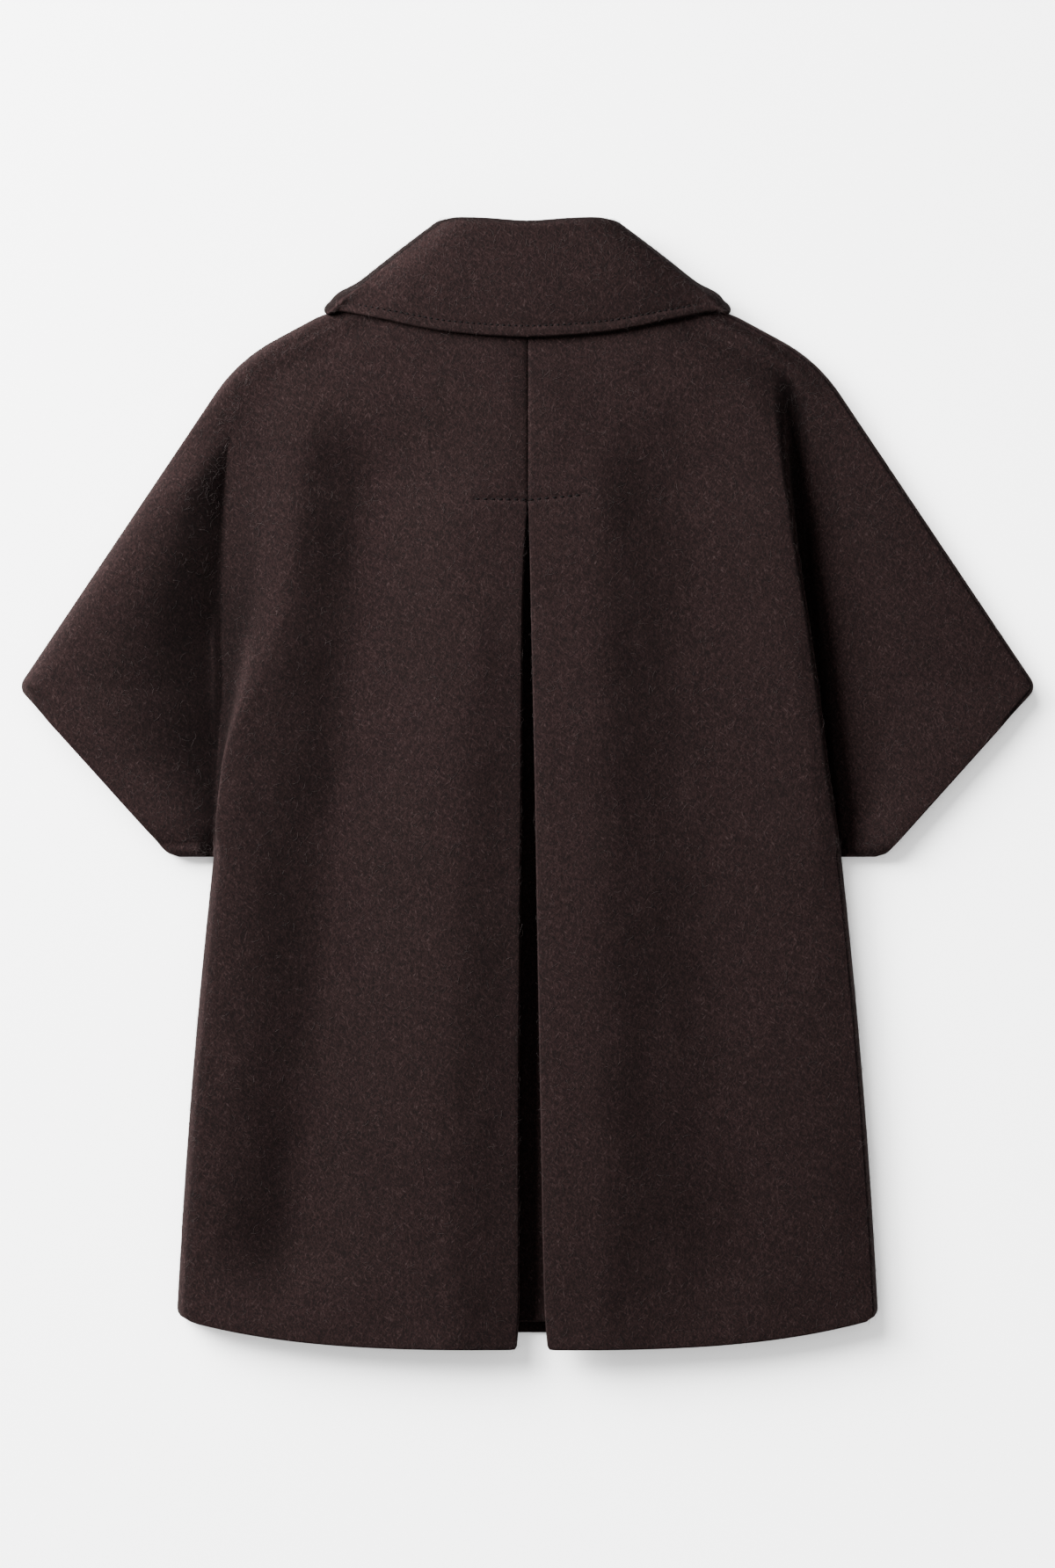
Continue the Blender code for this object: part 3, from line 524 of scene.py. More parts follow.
# grid of a back: pleat flap, half-round pleat edge, back, fold or side wall, sleeve and its edge
def backSurface(side):
    sizes = backPanel
    word = side.capitalize()
    y = rowHeights()[:, None]
    level = y[:, 0]
    belowHead = level <= coat["flapY"] + coat["rowSlack"]
    hasSleeve = level >= coat["underarmY"] - coat["rowSlack"]

    # where the back starts to turn to the sleeve or the side
    turn = np.radians(column(sideFold, "turn" + word, level))
    cloth = column(sideFold, "cloth" + word, level)
    foldX, foldZ, foldEdge = foldProfile(turn, sizes["foldSkew"][side], sizes["foldSteps"])
    foldAt = column(sideFold, "edge" + word, level)
    rise = smooth(sizes["foldRisesY"][side], coat["underarmY"], level)
    lowest = mix(sizes["foldLowest"], sizes["foldTop"], rise)
    room = backHeight(foldAt - foldEdge * cloth, level, side) - lowest
    cloth = np.minimum(cloth, room / np.maximum(-foldZ[:, -1], sizes["leastFall"]))
    startFold = foldAt - foldEdge * cloth
    foldX, foldZ = foldX * cloth[:, None], foldZ * cloth[:, None]
    sideX, corner = sideEdgeX(y)
    startSide = sideX - sizes["sideRoll"][side] - 0.5 * corner
    opened = smooth(sizes["foldEndsY"], coat["underarmY"], y)
    start = mix(startFold[:, None], startSide, opened)
    startZ = backHeight(start, y, side)

    # pleat flap, and the half turn up to the back's face
    roll = sizes["pleatRoll"]
    press = column(pleatPress, side, y)
    gap = column(pleatGap, side, y)
    inner = gap + press * belowHead[:, None]
    innerZ = backHeight(inner, y, side)
    flapX = inner + (sizes["pleatDepth"] - roll) * shares(sizes["flapSteps"])[:0:-1]
    flapZ = innerZ - 2.0 * roll + 0.0 * flapX
    angle = np.linspace(np.pi, 0.0, sizes["rollSteps"] + 1)[:-1]
    rollX = inner - press * np.sin(angle)
    rollZ = innerZ - roll * (1.0 - np.cos(angle))

    # back proper
    backX = mix(inner, start, shares(sizes["backSteps"])[:-1])
    backZ = backHeight(backX, y, side)

    # fold beside the sleeve, side wall below the underarm; both leave the back at its own slope
    across, height = quarterTurn(sizes["foldSteps"])
    slope = startZ - backHeight(start - 1.0, y, side)
    share = shares(sizes["foldSteps"])
    lead = share * (1.0 - share) ** 2
    sideSeam = seamHeight(sideX, y)
    sideX = start + (sideX - corner - startSide) * across
    sideZ = mix(sideSeam, startZ, height) + slope * sizes["sideRoll"][side] * lead
    turnX = mix(start + foldX, sideX, opened)
    turnZ = mix(startZ + foldZ + slope * cloth[:, None] * lead, sideZ, opened)

    # sleeve, from the foot of the fold to the overarm seam or the cuff
    footX, footZ = turnX[:, -1:], turnZ[:, -1:]
    edgeX = sleeveEdgeX(y)
    room = np.maximum(edgeX - footX, sizes["leastRoom"])
    edgeRoll = sleeveRoll(sizes["overarmRoll"][side], edgeX, level, room)
    sleeveShare = shares(sizes["sleeveSteps"])[1:]
    sleeveX = mix(footX, edgeX - edgeRoll, sleeveShare)
    settled = smooth(*sizes["shoulderBlend"], edgeX - edgeRoll - footX)
    edgeTop = mix(footZ, column(sleeveEdge, side, y), settled)
    if side == "left":
        begun = np.hypot(sleeveShare, sleeveRise["start"]) - sleeveRise["start"]
        rising = 1.0 - (1.0 - begun / begun[-1]) ** sleeveRise["left"]
    else:
        rising = smooth(*sleeveRise["right"], sleeveShare)
    sleeveZ = mix(footZ, edgeTop, rising)
    across, height = quarterTurn(sizes["edgeSteps"])
    closed = smooth(coat["cuffOpenY"], coat["cuffOpensY"], y)
    seam = seamHeight(edgeX, y)
    edgeFoot = mix(edgeTop, seam, closed)
    sleeveX = np.hstack([sleeveX, rolledEdge(edgeX, edgeRoll, across, closed)])
    sleeveZ = np.hstack([sleeveZ, mix(edgeFoot, edgeTop, height[1:])])
    over = mix(seam, sizes["foldTop"], smooth(0.0, sizes["sideRoll"][side], sleeveX - footX) * opened)
    sleeveZ = np.maximum(sleeveZ, over)
    sleeveZ = mix(sleeveZ, seam, cornerCut(1.0, (y - coat["underarmY"]) / sizes["underarmRoll"]))

    x = np.hstack([flapX, rollX, backX, turnX, sleeveX])
    z = np.hstack([flapZ, rollZ, backZ, turnZ, sleeveZ])
    cornerRise = cornerCut(sizes["pleatCorner"], x - gap) * nearHem(y, sizes["cornerReach"])
    y = y + hemRise(x, 0.0) * nearHem(y) + cornerRise

    pleatColumns = sizes["flapSteps"] + sizes["rollSteps"]
    bodyColumns = pleatColumns + sizes["backSteps"] + sizes["foldSteps"]
    valid, upright = sleeveSeams(x, hasSleeve, bodyColumns, closed)
    valid[~belowHead[:-1], :pleatColumns] = False
    upright[:, bodyColumns] = opened[:, 0]
    # painted shade in the valley beside a deep fold, over the fold's last part and the sleeve's first
    deep = smooth(*np.radians(sizes["paintedCreaseShadeTurns"]), turn)[:, None] * (1.0 - opened) * hasSleeve[:, None]
    paintedCreaseShade = np.zeros_like(x)
    paintedCreaseShade[:, pleatColumns + sizes["backSteps"]:bodyColumns + 1] = deep * smooth(*sizes["paintedCreaseShadeFold"], share)
    sleeveEnd = bodyColumns + 1 + sizes["sleeveSteps"]
    paintedCreaseShade[:, bodyColumns + 1:sleeveEnd] = deep * smooth(*sizes["paintedCreaseShadeSleeve"], sleeveShare)
    return np.stack([x, y, z], axis=-1), valid, upright, paintedCreaseShade


# Fronts

frontPanel = {
    "neckX": 95.0,
    "neckTopY": 393.8,
    "neckDepth": 63.0,
    "roll": 7.0,  # turns up to its seams over this width
    "rollShare": 0.3,
    "sleeveSlant": 0.35,
    "bodyShares": (0.3, 0.9),
    "flatSteps": 44,
    "edgeSteps": 8,
}


# neck edge of the fronts: a quarter ellipse down to the centre front
def frontNeckX(y):
    into = np.clip((frontPanel["neckTopY"] - y) / frontPanel["neckDepth"], 0.0, 1.0)
    return frontPanel["neckX"] * np.sqrt(1.0 - into ** 2)


# grid of a front: flat where it lies, turned up at its seams, with its half of the sleeve
def frontSurface(seamX):
    sizes = frontPanel
    y = rowHeights()[:, None]
    level = y[:, 0]
    hasSleeve = level >= coat["underarmY"] - coat["rowSlack"]
    inner = frontNeckX(y) + seamX
    edgeX = sleeveEdgeX(y)
    sideX, corner = sideEdgeX(y)
    width = edgeX - inner
    least, most = sizes["bodyShares"]
    sleeveLine = coat["underarmX"] - sizes["sleeveSlant"] * (y - coat["underarmY"])
    sleeveLine = np.clip(sleeveLine, inner + least * width, inner + most * width)
    sleeved = hasSleeve[:, None]
    bodyEdge = np.where(sleeved, sleeveLine, sideX - corner)
    sideRoll = np.minimum(sizes["roll"], sizes["rollShare"] * (bodyEdge - inner))
    flatShare = shares(sizes["flatSteps"])
    flatX = mix(inner, bodyEdge - sideRoll, flatShare)
    across, height = quarterTurn(sizes["edgeSteps"])
    turnX = rolledEdge(bodyEdge, sideRoll, across, np.where(sleeved, 0.0, 1.0))
    rimTop = coat["seamZ"] - coat["seamGap"]
    profile = (1.0 - height[1:]) * rimTop
    turnZ = np.where(sleeved, frontLift(turnX, y), profile)

    roll = sleeveRoll(sizes["roll"], edgeX, level, edgeX - bodyEdge)
    sleeveX = mix(bodyEdge, edgeX - roll, flatShare[1:])
    closed = smooth(coat["cuffOpenY"], coat["cuffOpensY"], y)
    rimX = rolledEdge(edgeX, roll, across, closed)
    turned = seamTurn(y)
    rimZ = frontLift(rimX, y) + profile * closed * turned
    sleeveZ = np.hstack([frontLift(sleeveX, y), rimZ])
    sleeveX = np.hstack([sleeveX, rimX])
    sleeveZ = np.maximum(sleeveZ, rimTop * cornerCut(1.0, (y - coat["underarmY"]) / sizes["roll"]))

    x = np.hstack([flatX, turnX, sleeveX])
    z = np.hstack([frontLift(flatX, y), turnZ, sleeveZ])
    y = y + hemRise(x, coat["frontHemRise"]) * nearHem(y)
    bodyColumns = sizes["flatSteps"] + sizes["edgeSteps"]
    valid, upright = sleeveSeams(x, hasSleeve, bodyColumns, closed * turned)
    upright[~hasSleeve, bodyColumns] = 1.0
    return np.stack([x, y, z], axis=-1), valid, upright, np.zeros_like(x)


# Pleat underlay

underlay = {
    "topY": 225.0,
    "hemY": -419.5,
    "sag": 8.3,  # hangs this far into the coat between its flaps
    "sagShares": (0.17, 0.42),  # of its width: level to the first, flat from the second
    "sagFrom": (215.0, 90.0),
    "sagEnds": (-470.0, -395.0),
    "gap": 0.5,  # under the flaps
    "blend": 15.0,
    "steps": 40,
    "rows": 180,
}


# grid of the underlay: flat under both flaps, with a soft-sided trough between them
def underlaySurface():
    sizes = underlay
    y = np.linspace(sizes["topY"], sizes["hemY"], sizes["rows"])[:, None]
    left, right = (column(pleatGap, side, y) + backPanel["pleatDepth"] for side in ("left", "right"))
    share = shares(sizes["steps"])
    x = mix(-left, right, share)
    edgeLeft, edgeRight = (backHeight(pleatEdge(side, y), y, side) for side in ("left", "right"))
    over = mix(edgeLeft, edgeRight, smooth(-sizes["blend"], sizes["blend"], x))
    level, flat = sizes["sagShares"]
    sag = smooth(flat, level, np.abs(share - 0.5)) * sizes["sag"] * smooth(*sizes["sagFrom"], y)
    sag = sag * smooth(*sizes["sagEnds"], y)
    z = over - 2.0 * backPanel["pleatRoll"] - sizes["gap"] - sag
    level = np.zeros_like(x)
    return np.stack([x, y + level, z], axis=-1), allFaces(x), level, level


# Collar

collar = {
    "wall": 4.0,
    "roll": 4.5,  # radius of the roll at the middle of the wall
    "swell": 2.0,  # the fall swells by this between roll and edge
    "outward": (0.61, 0.79),
    "turned": 160.0,  # facing past which it is the front leaf
    "frontGap": 0.45,
    "leastZ": 0.05,
    "pairSteps": 18,
    "standSteps": 8,
    "rollSteps": 14,
    "fallSteps": 44,
    "stitchInset": 8.6,  # topstitching, from the outer edge
    "stitchDip": (0.8, 1.5),
    "edgePuff": (0.6, 4.2, 3.6),  # fuller outside the topstitching: height, place, width
    "cornerPuff": (3.9, 15.0, 13.0),  # and where it turns over the shoulder
    "edgeRound": 1.6,
    # painted light and shade on the collar: lighter on slopes that face left, darker on those that face right
    # and on steep sides
    "painted_shading": {"base": -0.03, "left": -2.4, "right": 1.4, "up": 0.1, "paintedCreaseShade": 0.0, "lightest": 0.35,
            "darkest": 0.25, "steep": (0.72, 0.92), "side": 0.52},
}

# sections from the centre back to the front end: seam with the neck, centre of the roll, outer edge
collarSections = {
    "facing": [0, 0, 0, 25, 58, 90, 155, 180, 180, 180],
    "lean":   [0, 0, 10, 32, 44, 52, 57, 52, 50, 50],
    "seamX":  [0, 50, 82, 92, 95, 96, 92, 82, 50, 4],
    "seamY":  [391.9, 391.9, 391.9, 393, 394.1, 394.5, 393.5, 362.5, 341.5, 324],
    "seamZ":  [23.2, 23, 22.6, 20.5, 17.4, 14, 9.5, 7.4, 7.4, 7.4],
    "rollX":  [0, 32, 54, 64.8, 67.6, 68.6, 62, 48, 27, 6],
    "rollY":  [431.8, 433.9, 434.6, 433.4, 432.2, 430.8, 427, 408, 377, 352],
    "rollZ":  [27.4, 27.2, 26.2, 23.6, 20.4, 16.4, 7.4, 6.6, 6.6, 6.6],
    "edgeX":  [0, 64, 113, 145, 155, 156.8, 154, 134, 112, 88],
    "edgeY":  [347.6, 352, 361.6, 367.4, 364.6, 368, 368.4, 346, 307, 273],
    "edgeZ":  [27.5, 27.1, 26.2, 23.8, 22.7, 12.5, 2.6, 2.1, 2.1, 2.1],
}


# curve through rows: between each two, the cubic whose slopes are half the neighbours' difference
def through(values, steps):
    padded = np.vstack([2 * values[0] - values[1], values, 2 * values[-1] - values[-2]])
    t = (np.arange(steps) / steps)[:, None]
    rows = []
    for before, start, end, after in zip(padded, padded[1:], padded[2:], padded[3:]):
        bend = 2 * before - 5 * start + 4 * end - after
        twist = 3 * (start - end) + after - before
        rows.append(start + 0.5 * t * (end - before + t * (bend + t * twist)))
    return np.vstack(rows + [values[-1:]])


# middle surface of the collar: at each section a straight stand, half a circle over the roll, a swelling fall
def collarSurface():
    sizes = collar
    half = np.stack([np.array(v, float) for v in collarSections.values()], axis=-1)
    mirror = np.array([-1.0 if name.endswith("X") else 1.0 for name in collarSections])
    way = np.concatenate([-np.ones(len(half) - 1), np.ones(len(half))])
    sections = through(np.vstack([half[:0:-1] * mirror, half]), sizes["pairSteps"])
    sections[:, 0] = np.clip(sections[:, 0], 0.0, 180.0)
    way = np.interp(np.arange(len(sections)) / sizes["pairSteps"], np.arange(len(way)), way)
    facing, lean = np.radians(sections[:, :2]).T
    seam, roll, edge = np.split(sections[:, 2:], 3, axis=1)

    # the front neck seam follows the fronts' own edge
    rows = rowHeights()
    rows = rows[rows >= rows[rows < frontPanel["neckTopY"] - frontPanel["neckDepth"]].max()]
    frontSeam = np.interp(np.abs(seam[:, 0]), frontNeckX(rows[::-1]), rows[::-1])
    inFront = facing > np.radians(sizes["turned"])
    seam[:, 1] = np.where(inFront, frontSeam + sizes["frontGap"], seam[:, 1])

    face = np.stack([way * sizes["outward"][0] * np.sin(facing),
                     sizes["outward"][1] * np.sin(facing), np.cos(facing)], axis=-1)
    up = np.stack([-way * np.sin(lean), np.cos(lean), 0.0 * lean], axis=-1)
    swell = sizes["swell"] * face * (0.5 + 0.5 * np.cos(facing))[:, None]
    under = roll - sizes["roll"] * face
    over = roll + sizes["roll"] * face
    stand = shares(sizes["standSteps"])[:-1, None, None]
    angle = np.pi * shares(sizes["rollSteps"])[:-1, None, None]
    fall = shares(sizes["fallSteps"])[:, None, None]
    length = np.linalg.norm(edge - over, axis=1)[None, :, None]
    fromEdge = (1.0 - fall) * length
    dip, dipWidth = sizes["stitchDip"]
    puff, place, width = sizes["edgePuff"]
    relief = puff * bump(fromEdge, place, width) - dip * bump(fromEdge, sizes["stitchInset"], dipWidth)
    puff, place, width = sizes["cornerPuff"]
    relief = relief + puff * np.sin(facing)[None, :, None] ** 2 * bump(fromEdge, place, width)
    points = np.concatenate([
        mix(seam, under, stand),
        roll + sizes["roll"] * (up * np.sin(angle) - face * np.cos(angle)),
        mix(over, edge, fall) + swell * np.sin(np.pi * fall) + face * relief,
    ]).transpose(1, 0, 2)
    points[..., 2] = np.maximum(points[..., 2], 0.5 * sizes["wall"] + sizes["leastZ"])
    stitchShare = 1.0 - sizes["stitchInset"] / length[0]
    stitchLine = mix(over, edge, stitchShare) + swell * np.sin(np.pi * stitchShare)
    level = np.zeros(points.shape[:2])
    return (points, allFaces(points), level, level), stitchLine, face


# Sewing

thread = {
    "radius": 0.85,
    "dive": 0.8,  # each end goes this far into the cloth
    "rise": 0.05,  # and the middle stands this far off it
    "collarPitch": 4.7,
    "collarLength": 3.3,
    "headPitch": 6.0,
    "headLength": 3.9,
    "tip": 0.98,  # stitches end at this share of their half length
    "aim": 0.5,  # a stitch's direction is read this far to both sides
    "rings": 7,
    "sides": 6,
}


# rows spread over the rings and sides of their tubes
def overTubes(*rows):
    return (row.reshape(len(row), 1, 1, -1) for row in rows)


# stitches as spindles: along its length s from -1 to 1 each is as thick as the root of 1 - s^4, and its
# middle line dives into the cloth with the fourth power of s
def addStitches(name, middle, along, normal, length, material):
    s = np.linspace(-thread["tip"], thread["tip"], thread["rings"])[None, :, None, None]
    middle, along, normal = overTubes(middle, along, normal)
    thick = thread["radius"] * np.sqrt(1.0 - s ** 4)
    line = middle + along * s * 0.5 * length + normal * (thread["rise"] - thread["dive"] * s ** 4)
    return addTubes(name, line, thick, np.cross(normal, along), normal, thread["sides"], material)


# closed tubes round lines: rings of a radius, quads between each two, and a flat cap at both ends
def addTubes(name, line, radius, across, normal, sides, material):
    turn = np.linspace(0.0, 2.0 * np.pi, sides, endpoint=False)[:, None]
    tube = line + radius * (across * np.cos(turn) + normal * np.sin(turn))
    count, rings = tube.shape[:2]
    index = np.arange(count * rings * sides).reshape(count, rings, sides)
    ahead = np.roll(index, -1, axis=2)
    quads = np.stack([index[:, :-1], ahead[:, :-1], ahead[:, 1:], index[:, 1:]], axis=-1).reshape(-1, 4)
    caps = np.vstack([index[:, 0, ::-1], index[:, -1]])
    return newMesh(name, tube.reshape(-1, 3), quads.tolist() + caps.tolist(), material)


# rows of a line read at lengths along it
def readAlong(line, length, at):
    return np.stack([np.interp(at, length, line[:, k]) for k in range(3)], axis=-1)


# even places along a line, with its direction: read by length along it
def evenPlaces(line, pitch):
    step = np.linalg.norm(np.diff(line, axis=0), axis=1)
    length = np.concatenate([[0.0], np.cumsum(step)])
    at = np.arange(0.5 * pitch, length[-1], pitch)
    way = readAlong(line, length, at + thread["aim"]) - readAlong(line, length, at - thread["aim"])
    return readAlong(line, length, at), unit(way), at, length


# Stray fibres

fibres = {
    "count": 8600,
    "length": (3.0, 9.5),
    "radius": (0.035, 0.07),
    "curl": 0.22,  # sideways bend as a share of the length
    "lift": (0.1, 0.55),  # height of the middle above the cloth
    "stand": 1.1,  # loose ends stand off the coat's edges by up to this
    "brushed": 0.9,  # turn of the nap's own direction, in radians
    "spread": 1.1,
    "scatter": 1.6,
    "clear": 0.02,
    "leastUp": 0.05,  # they lie where the normal rises by more than this
    "rings": 4,
    "sides": 3,
    "seed": 12,
}


# fibres lying on the cloth: each is a parabola sideways and in height over its length, three-sided
def addFibres(name, places, normals, material):
    random = np.random.default_rng(fibres["seed"])
    pick = random.choice(len(places), fibres["count"], replace=False)
    base, normal = places[pick], normals[pick]
    heading = random.normal(fibres["brushed"], fibres["spread"], len(pick))
    along = laidIn(np.stack([np.cos(heading), np.sin(heading), 0.0 * heading], axis=-1), normal)
    across = np.cross(normal, along)
    base = base + random.uniform(-fibres["scatter"], fibres["scatter"], (len(pick), 1)) * across
    length, radius, lift = (random.uniform(*fibres[size], len(pick)) for size in ("length", "radius", "lift"))
    stand = random.uniform(0.0, fibres["stand"], len(pick)) * (1.0 - normal[:, 2])
    curl = random.normal(0.0, fibres["curl"], len(pick))
    length, radius, lift, stand, curl = overTubes(length, radius, lift, stand, curl)
    base, along, across, normal = overTubes(base, along, across, normal)
    t = shares(fibres["rings"] - 1)[:, None, None]
    arch = 4.0 * t * (1.0 - t)
    line = base + along * length * (t - 0.5) + across * length * curl * arch
    line = line + normal * (lift * arch + stand * t + fibres["clear"])
    return addTubes(name, line, radius, across, normal, fibres["sides"], material)


# Finishes

woolLook = {
    "tones": [  # place on the noise and colour: between the fibres, their tips, the fibres
        (0.53, (0.0092, 0.0060, 0.0059)),
        (0.87, (0.0594, 0.0412, 0.0402)),
        (0.67, (0.0216, 0.0116, 0.0113)),
    ],
    "turns": (1.0, 1.75, 2.5),  # directions in which the fibres lie
    "stretch": 3.2,
    "apart": (0.37, 0.71),  # shift of each direction's noise from the one before
    "fibres": {"Scale": 820.0, "Detail": 3.0, "Roughness": 0.62, "Distortion": 0.5},
    "mottle": {"Scale": 70.0, "Detail": 5.0, "Roughness": 0.7},
    "mottleDepth": 0.08,
    "patches": {"Scale": 13.0, "Detail": 3.0},
    "patchTone": {"From Min": 0.3, "From Max": 0.7, "To Min": 0.95, "To Max": 1.05},
    "bump": {"Strength": 0.5, "Distance": 0.0007},
    "surface": {
        "Roughness": 0.94,
        "Specular IOR Level": 0.06,
        "Sheen Weight": 0.03,
        "Sheen Roughness": 0.45,
        "Sheen Tint": (0.60, 0.42, 0.38, 1.0),
    },
}

# thread, fibres and floor: colour, the share by which noise varies it, the noise's scale, roughness
plainLooks = {
    "dark_thread": ((0.0016, 0.0010, 0.0010), 0.3, 900.0, 0.8),
    "stray_wool": ((0.044, 0.034, 0.033), 0.6, 90.0, 0.8),
    "pale_floor": ((0.92, 0.92, 0.92), 0.006, 3.0, 0.9),
}
plainTones = (0.3, 0.7)
plainSpecular = 0.15


# inputs of a node: each gets its value, or a link from a socket
def setInputs(tree, node, inputs):
    for name, value in inputs.items():
        if isinstance(value, bpy.types.NodeSocket):
            tree.links.new(value, node.inputs[name])
        else:
            node.inputs[name].default_value = value


# node of a kind with its inputs and settings; gives the output that is used
def addNode(tree, kind, inputs, output=0, **settings):
    node = tree.nodes.new(kind)
    for name, value in settings.items():
        setattr(node, name, value)
    setInputs(tree, node, inputs)
    return node.outputs[output]


# colours along a noise: the two end tones first, then any between them
def addTones(tree, noise, tones):
    colour = addNode(tree, "ShaderNodeValToRGB", {"Fac": noise})
    stops = colour.node.color_ramp.elements
    for k, (place, tone) in enumerate(tones):
        stop = stops[k] if k < 2 else stops.new(place)
        stop.position = place
        stop.color = tone + (1.0,)
    return colour


# new material, its tree, its shader and the piece's own coordinates
def newFinish(name):
    material = bpy.data.materials.new(name)
    material.use_nodes = True
    tree = material.node_tree
    place = addNode(tree, "ShaderNodeTexCoord", {}, "Object")
    return material, tree, tree.nodes["Principled BSDF"], place


# felted wool: the lightest of three stretched noises gives fibres that cross, a coarser one mottles them,
# and broad patches and the attribute of painted light and shade lighten or darken the whole
def makeWool(name):
    look = woolLook
    material, tree, shader, place = newFinish(name)
    for k, turn in enumerate(look["turns"]):
        lie = addNode(tree, "ShaderNodeMapping", {
            "Vector": place,
            "Location": (look["apart"][0] * k, look["apart"][1] * k, 0.0),
            "Rotation": (0.0, 0.0, turn),
            "Scale": (look["stretch"], 1.0, 1.0),
        }, vector_type="TEXTURE")
        noise = addNode(tree, "ShaderNodeTexNoise", {"Vector": lie, **look["fibres"]})
        if k:
            noise = addNode(tree, "ShaderNodeMath", {0: fibre, 1: noise}, operation="MAXIMUM")
        fibre = noise
    mottle = addNode(tree, "ShaderNodeTexNoise", {"Vector": place, **look["mottle"]})
    parts = {0: mottle, 1: look["mottleDepth"], 2: fibre}
    mottled = addNode(tree, "ShaderNodeMath", parts, operation="MULTIPLY_ADD")
    tones = addTones(tree, mottled, look["tones"])
    patch = addNode(tree, "ShaderNodeTexNoise", {"Vector": place, **look["patches"]})
    patch = addNode(tree, "ShaderNodeMapRange", {"Value": patch, **look["patchTone"]})
    # painted light and shade by slope, read from the cloth's point attribute
    painted_shading = addNode(tree, "ShaderNodeAttribute", {}, "Fac", attribute_name="painted_shading")
    tone = addNode(tree, "ShaderNodeMath", {0: patch, 1: painted_shading}, operation="ADD")
    colour = addNode(tree, "ShaderNodeVectorMath", {0: tones, "Scale": tone}, operation="SCALE")
    relief = addNode(tree, "ShaderNodeBump", {"Height": mottled, **look["bump"]})
    setInputs(tree, shader, {"Base Color": colour, "Normal": relief, **look["surface"]})
    return material


# plain finish with a little noise in its tone
def makePlain(name):
    colour, share, scale, roughness = plainLooks[name]
    material, tree, shader, place = newFinish(name)
    noise = addNode(tree, "ShaderNodeTexNoise", {"Vector": place, "Scale": scale})
    darker = tuple(c * (1.0 - share) for c in colour)
    lighter = tuple(min(1.0, c * (1.0 + share)) for c in colour)
    tones = addTones(tree, noise, zip(plainTones, (darker, lighter)))
    setInputs(tree, shader, {
        "Base Color": tones, "Roughness": roughness, "Specular IOR Level": plainSpecular})
    return material


wool = makeWool("dark_brown_wool")
threadFinish = makePlain("dark_thread")
fibreFinish = makePlain("stray_wool")
print("finishes made")

# Pieces

collarGrid, stitchLine, collarFace = collarSurface()
halfCollar = 0.5 * collar["wall"]
walls = {
    "back_right": clothWall("coat_back_right", backSurface("right"), wool),
    "back_left": clothWall("coat_back_left", mirrored(backSurface("left")), wool, turned=True),
    "front_right": clothWall("coat_front_right", frontSurface(coat["frontSeamX"]), wool, turned=True),
    "front_left": clothWall("coat_front_left", mirrored(frontSurface(-coat["frontSeamX"])), wool),
    "pleat_underlay": clothWall("coat_pleat_underlay", underlaySurface(), wool),
    "collar": clothWall(
        "coat_collar", collarGrid, wool, outward=halfCollar, inward=halfCollar, turned=True,
        edgeRound=collar["edgeRound"], look=collar["painted_shading"]),
}
print("cloth made")

# collar topstitching lies in its groove, on the face that shows
spots, way, at, length = evenPlaces(stitchLine, thread["collarPitch"])
stitchFace = unit(readAlong(collarFace, length, at))
way = laidIn(way, stitchFace)
spots = spots + stitchFace * (halfCollar - collar["stitchDip"][0])
collarStitches = addStitches(
    "collar_topstitching", spots, way, stitchFace, thread["collarLength"], threadFinish)

# cross stitching at the head of the pleat, on both backs
headSpots, headWay = [], []
for side, sign in (("left", -1.0), ("right", 1.0)):
    line = headStitch[side]
    x = np.arange(0.5 * thread["headPitch"], line["reach"], thread["headPitch"])
    y = headStitchY(x, side)
    headSpots.append(np.stack([sign * x, y, backHeight(x, y, side)], axis=-1))
    rise = (line["endY"] - line["centreY"]) / line["reach"]
    step = np.array([1.0, sign * rise, 0.0]) / np.hypot(1.0, rise)
    headWay.append(np.tile(step, (len(x), 1)))
headSpots, headWay = np.vstack(headSpots), np.vstack(headWay)
headFace = np.tile([0.0, 0.0, 1.0], (len(headSpots), 1))
headStitches = addStitches(
    "pleat_cross_stitching", headSpots, headWay, headFace, thread["headLength"], threadFinish)

# stray fibres lie on what faces up
shown = [walls[node] for node in ("back_right", "back_left", "collar")]
places, normals = (np.vstack([wall[k] for wall in shown]) for k in (1, 2))
facingUp = normals[:, 2] > fibres["leastUp"]
fibrePiece = addFibres("stray_fibres", places[facingUp], normals[facingUp], fibreFinish)
print("stitches and fibres made")

# Each panel's cut before it was sewn and the pieces it rests on, listed but not read; each piece joins the
# root and its solid is hidden

panels = {
    "back_left": ((0.47, 0.84), 0.258, ["coat_front_left"]),
    "back_right": ((0.47, 0.84), 0.256, ["coat_front_right"]),
    "front_left": ((0.40, 0.83), 0.222, []),
    "front_right": ((0.40, 0.83), 0.222, []),
    "pleat_underlay": ((0.11, 0.65), 0.062, ["coat_front_left", "coat_front_right"]),
    "collar": ((0.62, 0.20), 0.066, ["coat_back_left", "coat_back_right"]),
}
for node, (flat, area, restsOn) in panels.items():
    piece = walls[node][0]
    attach(piece, "root")
    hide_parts(node)
for piece in (collarStitches, headStitches, fibrePiece):
    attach(piece, "root")

# Floor, light and camera

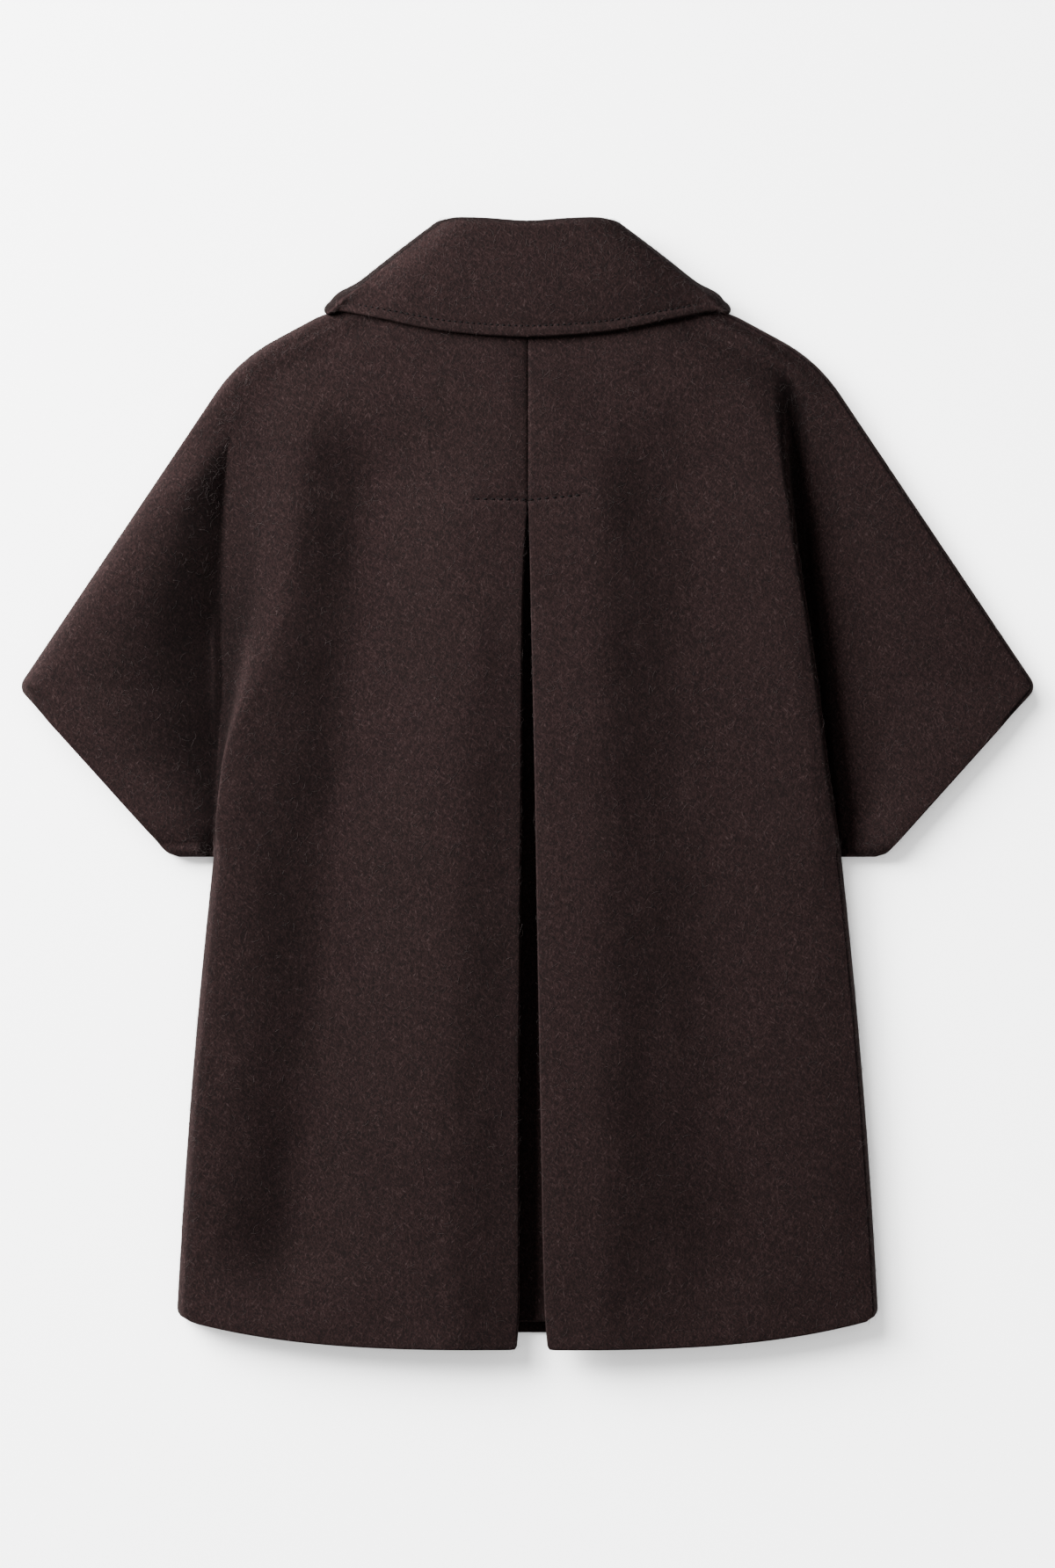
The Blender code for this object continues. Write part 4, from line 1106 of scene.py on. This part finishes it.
studio = {
    "floorReach": 30.0,
    "floorDrop": 0.0004,
    "floorLights": {  # for the floor alone, so that it is near white; the coat shades it
        "floor_sun": {"power": 22.0, "from": (-0.58, 0.66, 0.44), "spread": 0.9},
        "floor_fill": {"power": 3.6, "from": (-0.05, 0.05, 1.0), "spread": 2.4},
    },
    "keyFrom": (-0.76, 0.46, 0.46),  # the way to the key light
    "keyDistance": 2.7,  # near enough to fall off across the coat
    "keyWidth": 1.4,  # a broad light, so that shadows are soft
    "keyPower": 310.0,
    "sky": 0.355,
    "cameraHeight": 5.0,
    "frameHeight": 1.222,  # the picture's long side at the cloth's height, in metres
    "clothHeight": 0.016,
    "sensor": 36.0,
}

floorMesh = bpy.data.meshes.new("floor")
corners = np.array([(-1.0, -1.0), (1.0, -1.0), (1.0, 1.0), (-1.0, 1.0)]) * studio["floorReach"]
floorMesh.from_pydata([(x, y, -studio["floorDrop"]) for x, y in corners], [], [(0, 1, 2, 3)])
floorMesh.materials.append(makePlain("pale_floor"))
floor = addObject("floor", floorMesh)
floor.visible_glossy = False  # so bright a floor would show as a grey line along the wool's edges

world = bpy.data.worlds.new("studio")
world.use_nodes = True
sky = world.node_tree.nodes["Background"]
sky.inputs["Color"].default_value = (1.0, 1.0, 1.0, 1.0)
sky.inputs["Strength"].default_value = studio["sky"]
bpy.context.scene.world = world


# light that shines from a place towards the origin
def addLight(name, kind, power, place):
    light = addObject(name, bpy.data.lights.new(name, kind))
    light.data.energy = power
    light.location = place
    light.rotation_euler = light.location.to_track_quat("Z", "Y").to_euler()
    return light


direction = np.array(studio["keyFrom"]) / np.linalg.norm(studio["keyFrom"])
key = addLight("key", "AREA", studio["keyPower"], direction * studio["keyDistance"])
key.data.shape = "DISK"
key.data.size = studio["keyWidth"]

floorOnly = bpy.data.collections.new("floor_only")
floorOnly.objects.link(floor)
for name, light in studio["floorLights"].items():
    sun = addLight(name, "SUN", light["power"], light["from"])
    sun.data.angle = light["spread"]
    sun.light_linking.receiver_collection = floorOnly

camera = addObject("camera", bpy.data.cameras.new("camera"))
camera.data.sensor_width = studio["sensor"]
distance = studio["cameraHeight"] - studio["clothHeight"]
camera.data.lens = studio["sensor"] * distance / studio["frameHeight"]
camera.location = (0.0, 0.0, studio["cameraHeight"])
bpy.context.scene.camera = camera
print("floor, light and camera made")
